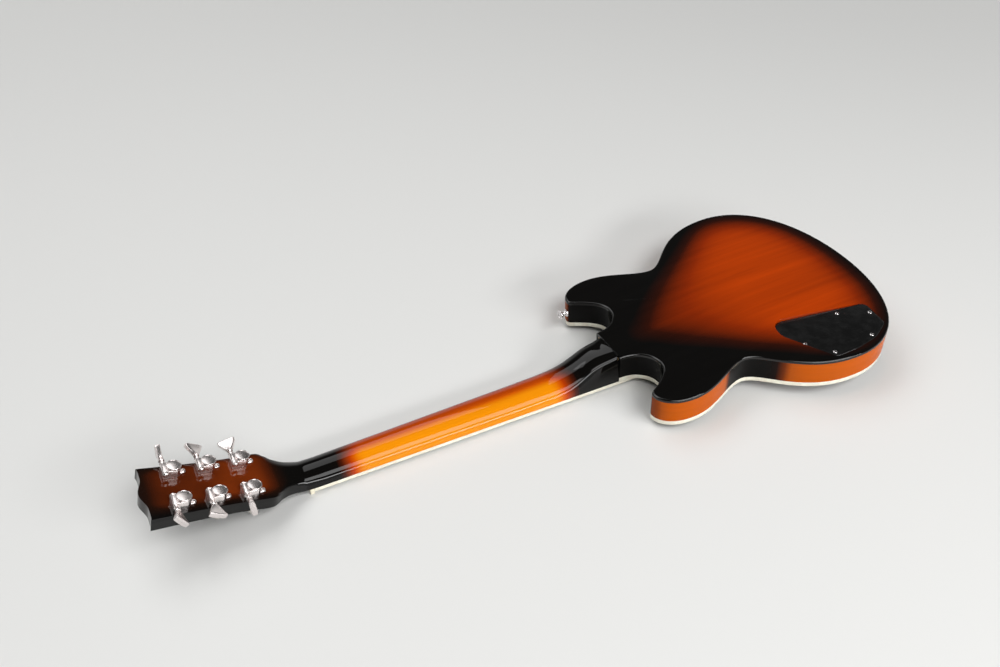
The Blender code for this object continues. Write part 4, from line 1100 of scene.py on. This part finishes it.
def gear_case():
    """The housing without its screw, in millimetres round the post, out to the bass side along +Y."""
    top = WORM_N + CASE_ROUND
    cup = turned([
        (0, HEAD_BACK), (7.8, HEAD_BACK), (7.5, top + 0.9), (7.9, top + 1.3), (8.2, top + 1.8),
        (8.15, top + 2.2), (7.8, top + 2.55), (7.3, top + 2.6), (7.05, top + 2.4), (6.8, top + 2.45),
        (5.0, top + 2.7), (3.0, top + 2.86), (0, top + 2.95),
    ], 56)
    view = [(3.5, HEAD_BACK), (3.5, top)] + arc((-WORM_AHEAD, WORM_N), CASE_ROUND, 90, 180, 10)
    view.append((-WORM_AHEAD - CASE_ROUND, HEAD_BACK))
    case = skin([[Vector((x, y, z)) * MM for x, z in view] for y in (-7.7, 7.7)])
    bevelled(case, 0.55, 3, 40)
    barrel = turned([
        (0, 5), (3.2, 5), (3.2, 9.0), (2.95, 9.2), (2.95, 9.5), (3.3, 9.7), (3.3, 10.4), (3.0, 10.6),
        (0, 10.6),
    ], 32)
    cap = turned([
        (0, -10.4), (1.2, -10.3), (2.3, -9.9), (3.1, -9.2), (3.5, -8.3), (3.6, -7.9), (4.0, -7.75),
        (4.0, -7.0), (0, -7.0),
    ], 32)
    for part in (barrel, cap):
        settle(part, at(-WORM_AHEAD, 0, WORM_N) @ turn(-90, "X"))
    ear = arc((SCREW_X, 0), 3.1, -90, 90, 12) + [(0, 4.6), (0, -4.6)]
    foot = slab(ear, HEAD_BACK, FOOT_TOP, AS_ROUND_AS_FITS)
    return joined(cup, case, barrel, cap, foot)


bass_case = gear_case()
TO_TREBLE = Matrix.Scale(-1, 4, (0, 1, 0))


def on_side(shape, place, side):
    """A copy for one side; the treble copy is mirrored and turned right side out again."""
    if side > 0:
        return copy_of(shape, place)
    made = copy_of(shape, place @ TO_TREBLE)
    made.data.flip_normals()
    return made


tuner_places = {
    f"{name}_{number}": (side, HEAD @ at(-along, side * TUNER_SIDE))
    for side, name in ((1, "bass"), (-1, "treble")) for number, along in enumerate(TUNER_ALONG, 1)
}
spots = []
for label, (side, place) in tuner_places.items():
    housing = on_side(bass_case, place, side)
    dressed(housing, f"gear_case_{label}", worn_chrome, f"tuner_housing_{label}", 38)
    spots.append((place @ at(SCREW_X, 0, FOOT_TOP) @ turn(side * 20, "Z"), 2.65))
screws("tuner_screws", spots, worn_chrome)

# %% [markdown]
# The button is a flared slab. Each of its sections is a rounded rectangle, so one formula with a
# changing power draws them all: a power of 1 gives a circle and a small power a box.

# %% Tuner buttons and posts
BUTTON_TURNS = {"bass_1": -22, "bass_2": 22, "bass_3": 80, "treble_1": 72, "treble_2": 20, "treble_3": 48}


def button_ring(y, half_width, half_thick, power, ridge):
    ring, count = [], 40
    for k in range(count):
        angle = 2 * math.pi * (k + 0.5) / count
        across = math.copysign(abs(math.cos(angle)) ** power, math.cos(angle))
        up = math.copysign(abs(math.sin(angle)) ** power, math.sin(angle))
        ring.append(Vector((half_width * across, y + ridge * (1 - abs(across)), half_thick * up)) * MM)
    return ring


# A row is (distance along the shaft, half width, half thickness, power, ridge).
BUTTON_ROWS = [
    (6.3, 3.6, 2.9, 0.9, 0), (7.2, 4.4, 2.8, 0.7, 0), (10.0, 5.8, 2.65, 0.55, 0), (13.0, 7.4, 2.6, 0.45, 0),
    (16.5, 8.9, 2.8, 0.36, 0.3), (19.4, 9.95, 3.3, 0.3, 0.9), (20.2, 10.08, 3.4, 0.3, 1.1),
    (20.7, 9.98, 3.2, 0.3, 1.2), (20.95, 9.9, 2.8, 0.3, 1.25), (21.05, 9.5, 1.6, 0.3, 1.35),
    (21.08, 9.1, 0.1, 0.3, 1.45),
]
flare = skin([button_ring(*row) for row in BUTTON_ROWS])
shaft = turned([
    (0, 0.3), (1.9, 0.3), (1.9, 3.4), (3.0, 3.4), (3.3, 3.7), (3.35, 5.2), (3.1, 5.6), (2.6, 5.8),
    (2.6, 6.6), (0, 6.6),
], 28)
settle(shaft, turn(-90, "X"))
pattern_button = joined(flare, shaft)
pattern_post = turned([
    (0, -15.5), (1.9, -15.5), (2.3, -15.3), (2.9, -14.4), (3.0, -14.0), (3.0, -12.3), (2.7, -11.7),
    (2.4, -11.2), (2.4, -6.0), (2.6, -5.3), (3.0, -4.6), (3.0, 18.0), (0, 18.0),
], 28)
pattern_bushing = turned([(3.2, 0.5), (5.4, 0.5), (5.4, -0.9), (4.9, -1.6), (3.4, -1.8), (3.2, -1.6)], 36)
bushings = []
for label, (side, place) in tuner_places.items():
    worm_end = place @ at(-WORM_AHEAD, side * (SHAFT_START - TUNER_SIDE), WORM_N)
    button = on_side(pattern_button, worm_end @ turn(BUTTON_TURNS[label], "Y"), side)
    dressed(button, f"button_{label}", worn_chrome, f"tuner_button_{label}")
    dressed(copy_of(pattern_post, place), f"post_{label}", nickel, f"tuner_post_{label}")
    bushings.append(copy_of(pattern_bushing, place))
dressed(joined(*bushings), "post_bushings", chrome)
for pattern in (bass_case, pattern_button, pattern_post, pattern_bushing):
    bpy.data.objects.remove(pattern, do_unlink=True)
print("six tuners")

# %% [markdown]
# ## Fingerboard
#
# The board is rosewood with a gentle radius. Every fret is a bar with a rounded crown that follows
# the radius and stops at the cream binding.

# %% Fingerboard and frets
BOARD_FACE_Z, BOARD_UNDERSIDE_Z = 2.6, 7.3
BINDING_WIDTH, BOARD_DROP = 1.6, 0.55


def board_z(y):
    """Height of the board's playing face, counted down from the strings' plane."""
    return BOARD_FACE_Z + BOARD_DROP * (y / 28.5) ** 2


def board_ring(x):
    half = board_half_width(x) - BINDING_WIDTH - 0.05
    across = [half * (k / 6 - 1) for k in range(13)]
    ring = [(x, y, board_z(y)) for y in across] + [(x, y, BOARD_UNDERSIDE_Z) for y in (half, -half)]
    return [GUITAR @ (Vector(p) * MM) for p in ring]


board = skin([board_ring(x) for x in np.linspace(0.3, BOARD_END_X, 60)])
dressed(board, "playing_board", rosewood, "fingerboard", 30)


FRET_CROWN = [
    (1.2, -0.2), (1.2, 0.05), (1.0, 0.5), (0.6, 0.82), (0, 0.95),
    (-0.6, 0.82), (-1.0, 0.5), (-1.2, 0.05), (-1.2, -0.2),
]


def fret_bar(x):
    """Sections across the board; the ends are filed to a slope."""
    half = board_half_width(x) - BINDING_WIDTH - 0.2
    rings = []
    for y in (-half, 0.7 - half, *(half * k / 8 for k in range(-7, 8)), half - 0.7, half):
        filed = 0.25 if abs(y) == half else 1.0
        heights = [rise * filed if rise > 0 else rise for _, rise in FRET_CROWN]
        ring = [(x + dx, y, board_z(y) - rise) for (dx, _), rise in zip(FRET_CROWN, heights)]
        rings.append([GUITAR @ (Vector(point) * MM) for point in ring])
    return skin(rings)


frets = joined(*[fret_bar(fret_x(number)) for number in range(1, FRETS + 1)])
dressed(frets, "frets", fret_wire, smooth=50)


def disc(radius, thick, place):
    return settle(turned([(0, 0), (radius, 0), (radius, thick), (0, thick)], 24), place)


dots, side_dots = [], []
for number in (3, 5, 7, 9, 12, 15, 17, 19, 21):
    middle = (fret_x(number) + fret_x(number - 1)) / 2
    for y in (-9, 9) if number == 12 else (0,):
        dots.append(disc(3.1, 0.6, GUITAR @ at(middle, y, board_z(abs(y) + 1) - 0.02)))
    for shift in (-3, 3) if number == 12 else (0,):
        edge = GUITAR @ at(middle + shift, board_half_width(middle) - 0.3, 5.2) @ turn(-90, "X")
        side_dots.append(disc(0.9, 0.32, edge))
dressed(joined(*dots), "inlay_dots", pearl, smooth=30)
dressed(joined(*side_dots), "side_dots", black_plastic, smooth=30)
print(FRETS, "frets,", len(dots), "dots")

# %% [markdown]
# ## Small solids, softened
#
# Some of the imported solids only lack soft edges. A copy of each has its flat areas merged back into
# whole faces, and then its sharp edges are bevelled.

# %% Softened copies


def softened(node, name, width, material, angle=35):
    source = frame["nodes"][node]
    made = source.copy()
    made.data = source.data.copy()
    made.parent = None
    bpy.context.scene.collection.objects.link(made)
    made.matrix_basis = source.matrix_world
    settle(made)
    take(made)
    bpy.ops.object.mode_set(mode="EDIT")
    bpy.ops.mesh.select_all(action="SELECT")
    bpy.ops.mesh.remove_doubles(threshold=1e-6)
    bpy.ops.mesh.dissolve_limited(angle_limit=math.radians(2))
    bpy.ops.object.mode_set(mode="OBJECT")
    bevelled(made, width, angle=angle)
    dressed(made, name, material, node)


softened("nut", "string_nut", 0.12, bone)
softened("truss_rod_cover", "truss_cover", 0.4, black_plastic)
screws("truss_cover_screws", [(HEAD @ at(x, 0, -2.0) @ UNDER, 1.5) for x in (-7.5, -33)])
softened("bridge", "bridge_bar", 0.35, chrome, 50)
for end in ("bass", "treble"):
    softened(f"bridge_post_{end}", f"bridge_stud_{end}", 0.2, nickel, 50)
    softened(f"tailpiece_stud_{end}", f"anchor_{end}", 0.2, nickel, 50)

# %% [markdown]
# ## Strap buttons
#
# One sits on the tip of the bass horn and one at the tail.

# %% Strap buttons
HORN_BUTTON = BODY @ at(0.9077, 102.631, 21.5) @ turn(-90, "Y")
TAIL_BUTTON = BODY @ at(388.3, 0, 21.5) @ turn(90, "Y")
pattern_strap = turned([
    (0, 0), (5.2, 0), (5.4, 0.3), (5.3, 1.2), (4.4, 1.9), (3.4, 2.8), (2.95, 4.2), (2.9, 6.6), (3.4, 7.6),
    (5.0, 8.5), (6.6, 9.4), (6.95, 9.9), (6.95, 10.6), (6.6, 11.2), (5.6, 11.6), (4.2, 11.2), (3.9, 10.6),
    (0, 10.6),
], 48)
for end, place in (("horn", HORN_BUTTON), ("tail", TAIL_BUTTON)):
    dressed(copy_of(pattern_strap, place), f"strap_pin_{end}", chrome, f"strap_button_{end}")
bpy.data.objects.remove(pattern_strap, do_unlink=True)
screws("strap_screws", [(place @ at(0, 0, 10.6), 3.3) for place in (HORN_BUTTON, TAIL_BUTTON)])

# %% [markdown]
# ## The face
#
# The face looks at the floor here, but a guitar that is picked up shows it first. Its plate is
# arched like the back, and every hole in it is cut through: two f-holes, the pickup windows, and the
# round holes for the controls, the bridge and the tailpiece.

# %% Face plate
PICKUPS = {"neck": (77.5, -7.4), "bridge": (183.0, -12.1)}
KNOBS = {
    "volume_neck": (258, -88), "volume_bridge": (300, -104),
    "tone_neck": (258, -126), "tone_bridge": (298, -141),
}
TOGGLE, JACK = (222, -84), (337, -119)
BRIDGE_U, TAILPIECE_U, BRIDGE_POST_SIDE, STUD_SIDE = 223.5, 267.0, 37.0, 41.0
CUT_LOW, CUT_HIGH = -14, 12
F_PLACE, F_REACH, F_BEND, F_EYE = (152, 80), 40, 8, 4.6


def round_cutter(u, v, radius):
    bpy.ops.mesh.primitive_cylinder_add(radius=radius * MM, depth=(CUT_HIGH - CUT_LOW) * MM, vertices=32)
    return settle(bpy.context.object, at(u, v, (CUT_LOW + CUT_HIGH) / 2))


def f_hole(side):
    """Three cutters for one hole: a long S that swells in the middle, and an eye at each end."""
    left, right = [], []
    for i in range(33):
        s = i / 16 - 1
        v, half = -F_BEND * math.sin(math.pi * s * 0.75), 3.6 - 2.2 * abs(s)
        left.append((F_REACH * s, v + half))
        right.append((F_REACH * s, v - half))
    cutters = [slab(right + left[::-1], CUT_LOW, CUT_HIGH)]
    for end in (-1, 1):
        v = end * 2.6 - F_BEND * math.sin(math.pi * end * 0.75)
        cutters.append(round_cutter(F_REACH * end, v, F_EYE))
    place = at(F_PLACE[0], side * F_PLACE[1]) @ turn(7 * side, "Z")
    for cutter in cutters:
        settle(cutter, place @ Matrix.Scale(side, 4, (0, 1, 0)))
        if side < 0:
            cutter.data.flip_normals()
    return cutters


def bare_face():
    return arched_plate(FACE_INSET, 0.0, FACE_THICK, -FACE_ARCH, 0.0)


holes = f_hole(1) + f_hole(-1)
for u, _ in PICKUPS.values():
    holes.append(settle(slab(rectangle(40, 72, 4), CUT_LOW, CUT_HIGH), at(u)))
holes += [round_cutter(u, v, 4.9) for u, v in KNOBS.values()]
holes += [round_cutter(*TOGGLE, 6.3), round_cutter(*JACK, 5.0)]
for side in (1, -1):
    holes.append(round_cutter(BRIDGE_U, side * BRIDGE_POST_SIDE, 3.4))
    holes.append(round_cutter(TAILPIECE_U, side * STUD_SIDE, 4.9))
tenon_room = block(75, 38.6, 40, at(17.5, 0, 15))
face_plate = bare_face()
cut(face_plate, tenon_room, *holes)
settle(face_plate, BODY)
paint(face_plate, "burst", plate_burst(face_plate))
dressed(face_plate, "face_plate", back_lacquer, "body_top")
print("face plate:", len(face_plate.data.polygons), "faces")

# %% [markdown]
# ## Pickups, bridge and tailpiece
#
# A ray cast at the face plate finds how high it stands under each of its parts. Each pickup is a
# pressed metal cover with six pole screws, standing in a plastic ring.

# %% Heights of the face
whole_face = settle(bare_face(), BODY)
heights = {}
for u, v in [*KNOBS.values(), TOGGLE, JACK, *((u, 0.5) for u, _ in PICKUPS.values())]:
    start, heading = BODY @ (Vector((u, v, -100)) * MM), BODY.to_3x3() @ Vector((0, 0, 1))
    place = whole_face.ray_cast(start, heading)[1]
    heights[(u, v)] = (BODY.inverted() @ place).z / MM
bpy.data.objects.remove(whole_face, do_unlink=True)
print("the face stands", [round(-height, 1) for height in heights.values()], "mm above its edge")

# %% Pickups
for name, (u, cover_w) in PICKUPS.items():
    shell = bevelled(slab(rectangle(38, 70, 3.5), cover_w, 13), 1.1, 4, 60)
    dressed(settle(shell, BODY @ at(u)), f"{name}_pickup_cover", chrome, f"pickup_{name}", 50)
    surface = heights[(u, 0.5)]
    ring_low = surface - (3.2 if name == "neck" else 6.5)
    ring = bevelled(slab(rectangle(45, 90, 4), ring_low, surface - 0.3), 0.9, 3, 60)
    cut(ring, slab(rectangle(39, 71, 4), -30, CUT_HIGH))
    settle(ring, BODY @ at(u))
    dressed(ring, f"{name}_pickup_frame", black_plastic, f"pickup_ring_{name}", 50)
    pole_u = u - 10 if name == "neck" else u + 10
    poles = [(pole_u, 10.2 * (k - 2.5)) for k in range(6)]
    screws(f"{name}_pole_screws", [(BODY @ at(*pole, cover_w + 0.1) @ UNDER, 2.1) for pole in poles])
    corners = [(u + du, v) for du in (-19.6, 19.6) for v in (-41.5, 41.5)] + [(u, -39.5), (u, 39.5)]
    screws(f"{name}_frame_screws", [(BODY @ at(*corner, ring_low) @ UNDER, 1.6) for corner in corners])

# %% Tailpiece


def string_plane_w(u):
    return -(NECK_FACE_Z + u * math.sin(BODY_PITCH)) / math.cos(BODY_PITCH)


# Places on the bar's section: (along the guitar, share of its thickness).
BAR_SECTION = [
    (-7.2, 0.6), (-7.0, 0.45), (-6.2, 0.2), (-5.2, 0.05), (0, -0.03), (5.0, 0.08), (6.6, 0.22), (7.4, 0.45),
    (7.3, 0.62), (6.6, 0.82), (5.0, 0.95), (3.0, 1.0), (-5.0, 1.0), (-6.8, 0.9), (-7.3, 0.75),
]
BAR_ENDS = [(44, 1), (47.5, 0.95), (49.5, 0.84), (50.5, 0.68), (51, 0.45)]
BAR_MIDDLE, BAR_THICK = 9.95, 9.3

bar_rings = [
    [Vector((x * size, y, BAR_MIDDLE + (h - 0.5) * BAR_THICK * size)) * MM for x, h in BAR_SECTION]
    for y, size in [(-y, size) for y, size in reversed(BAR_ENDS)] + BAR_ENDS
]
tail_bar = skin(bar_rings)
for side in (1, -1):
    fork = [(x, y + side * STUD_SIDE) for x, y in arc((0, 0), 3.6, -90, 90, 12) + [(-12, 3.6), (-12, -3.6)]]
    cut(tail_bar, slab(fork, 0, 20))
settle(tail_bar, BODY @ at(TAILPIECE_U, 0, string_plane_w(TAILPIECE_U)))
dressed(tail_bar, "stop_bar", chrome, "tailpiece", 45)
print("stop bar", round(tail_bar.dimensions.y / MM), "mm long")

# %% [markdown]
# ## Knobs, switch and jack
#
# All of these are turned. Their heights count from the face at each place, and the `level` of the
# face's edge leads to what sits inside the body. The knobs ride on their own bodies, so they turn in
# the poses.

# %% Knobs
POT_TOP = 12.2


def on_face(shape, spot):
    """Moves a shape from the origin to a place on the face."""
    return settle(shape, BODY @ at(*spot, heights[spot]))


for name, spot in KNOBS.items():
    inside = POT_TOP - heights[spot]
    knob = turned([
        (0, -13.6), (8.6, -13.6), (8.9, -13.9), (9.8, -14.0), (10.4, -13.8), (10.8, -13.2), (11.2, -11.0),
        (11.5, -8.0), (12.1, -2.0), (12.2, -1.3), (11.6, -1.0), (6.2, -1.0), (6.2, -7.2), (3.1, -7.2),
        (3.1, inside), (0, inside),
    ], 64)
    dressed(on_face(knob, spot), f"{name}_dial", black_plastic, f"{name}_knob")

# %% Switch and jack
tip = turned([
    (0, -13.2), (1.6, -13.1), (2.8, -12.6), (3.7, -11.7), (4.2, -10.3), (4.25, -8.8), (3.9, -7.0),
    (3.2, -5.2), (2.4, -3.8), (1.9, -3.2), (1.6, -3.0), (1.6, 4.0), (2.4, 5.0), (1.6, 6.4), (0, 6.8),
], 36)
dressed(on_face(tip, TOGGLE), "switch_tip", switch_cream, "toggle_lever")
level = -heights[TOGGLE]
collar = turned([
    (4.2, -3.6), (5.5, -3.6), (5.9, -3.3), (5.9, -2.6), (7.3, -2.5), (7.6, -2.2), (7.6, -0.3), (5.9, -0.3),
    (5.9, level + 4.4), (8.0, level + 4.4), (8.0, level + 9.0), (4.2, level + 6.0),
], 48)
switch_case = slab(rectangle(22, 15, 1, 3), level + 7.6, level + 24)
dressed(on_face(joined(collar, switch_case), TOGGLE), "switch_body", chrome, "toggle_switch")
level = -heights[JACK]
barrel = turned([
    (3.8, -3.2), (4.0, -3.4), (4.5, -3.4), (4.7, -3.2), (4.7, level + 4.4), (8.5, level + 4.4),
    (8.5, level + 24.0), (3.8, level + 24.0),
], 48)
jack_nut = bevelled(slab(arc((0, 0), 8.1, 0, 300, 5), -2.2, -0.8), 0.3)
cut(jack_nut, round_cutter(0, 0, 4.6))
washer = turned([(4.8, -0.8), (8.2, -0.8), (8.2, -0.3), (4.8, -0.3)], 48)
dressed(on_face(joined(barrel, jack_nut, washer), JACK), "jack_body", chrome, "jack_socket")
print("face parts done")

# %% [markdown]
# ## Materials for the solids that stay
#
# Solids that are already the right shape keep their mesh and only get a finish.

# %% Finishes by slot
BY_SLOT = {
    "amber_lacquered_wood": neck_lacquer, "burst_lacquered_wood": back_lacquer, "plain_maple": maple,
    "rosewood": rosewood, "cream_binding": cream, "cream_plastic": switch_cream, "bone": bone,
    "black_plastic": black_plastic, "chrome_plate": chrome, "nickel_steel": nickel,
    "plain_string": string_steel, "wound_string": bronze,
}
for node, slot in SLOT_OF.items():
    solid = frame["nodes"][node]
    solid.data.materials.clear()
    solid.data.materials.append(BY_SLOT[slot])
print(len(SLOT_OF), "solids painted")

# %% [markdown]
# ## Done
#
# The last cell holds both boxes, of the solids and of the dressed guitar, and prints how far each corner grew.

# %% Finish
bpy.data.objects.remove(pattern_screw, do_unlink=True)
sizes = {"solids": [list(corner) for corner in solid_box], "dressed": [list(corner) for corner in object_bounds()]}
for before, after in zip(*sizes.values()):
    print("a corner grew by", [round((b - a) / MM, 2) for a, b in zip(before, after)], "mm")
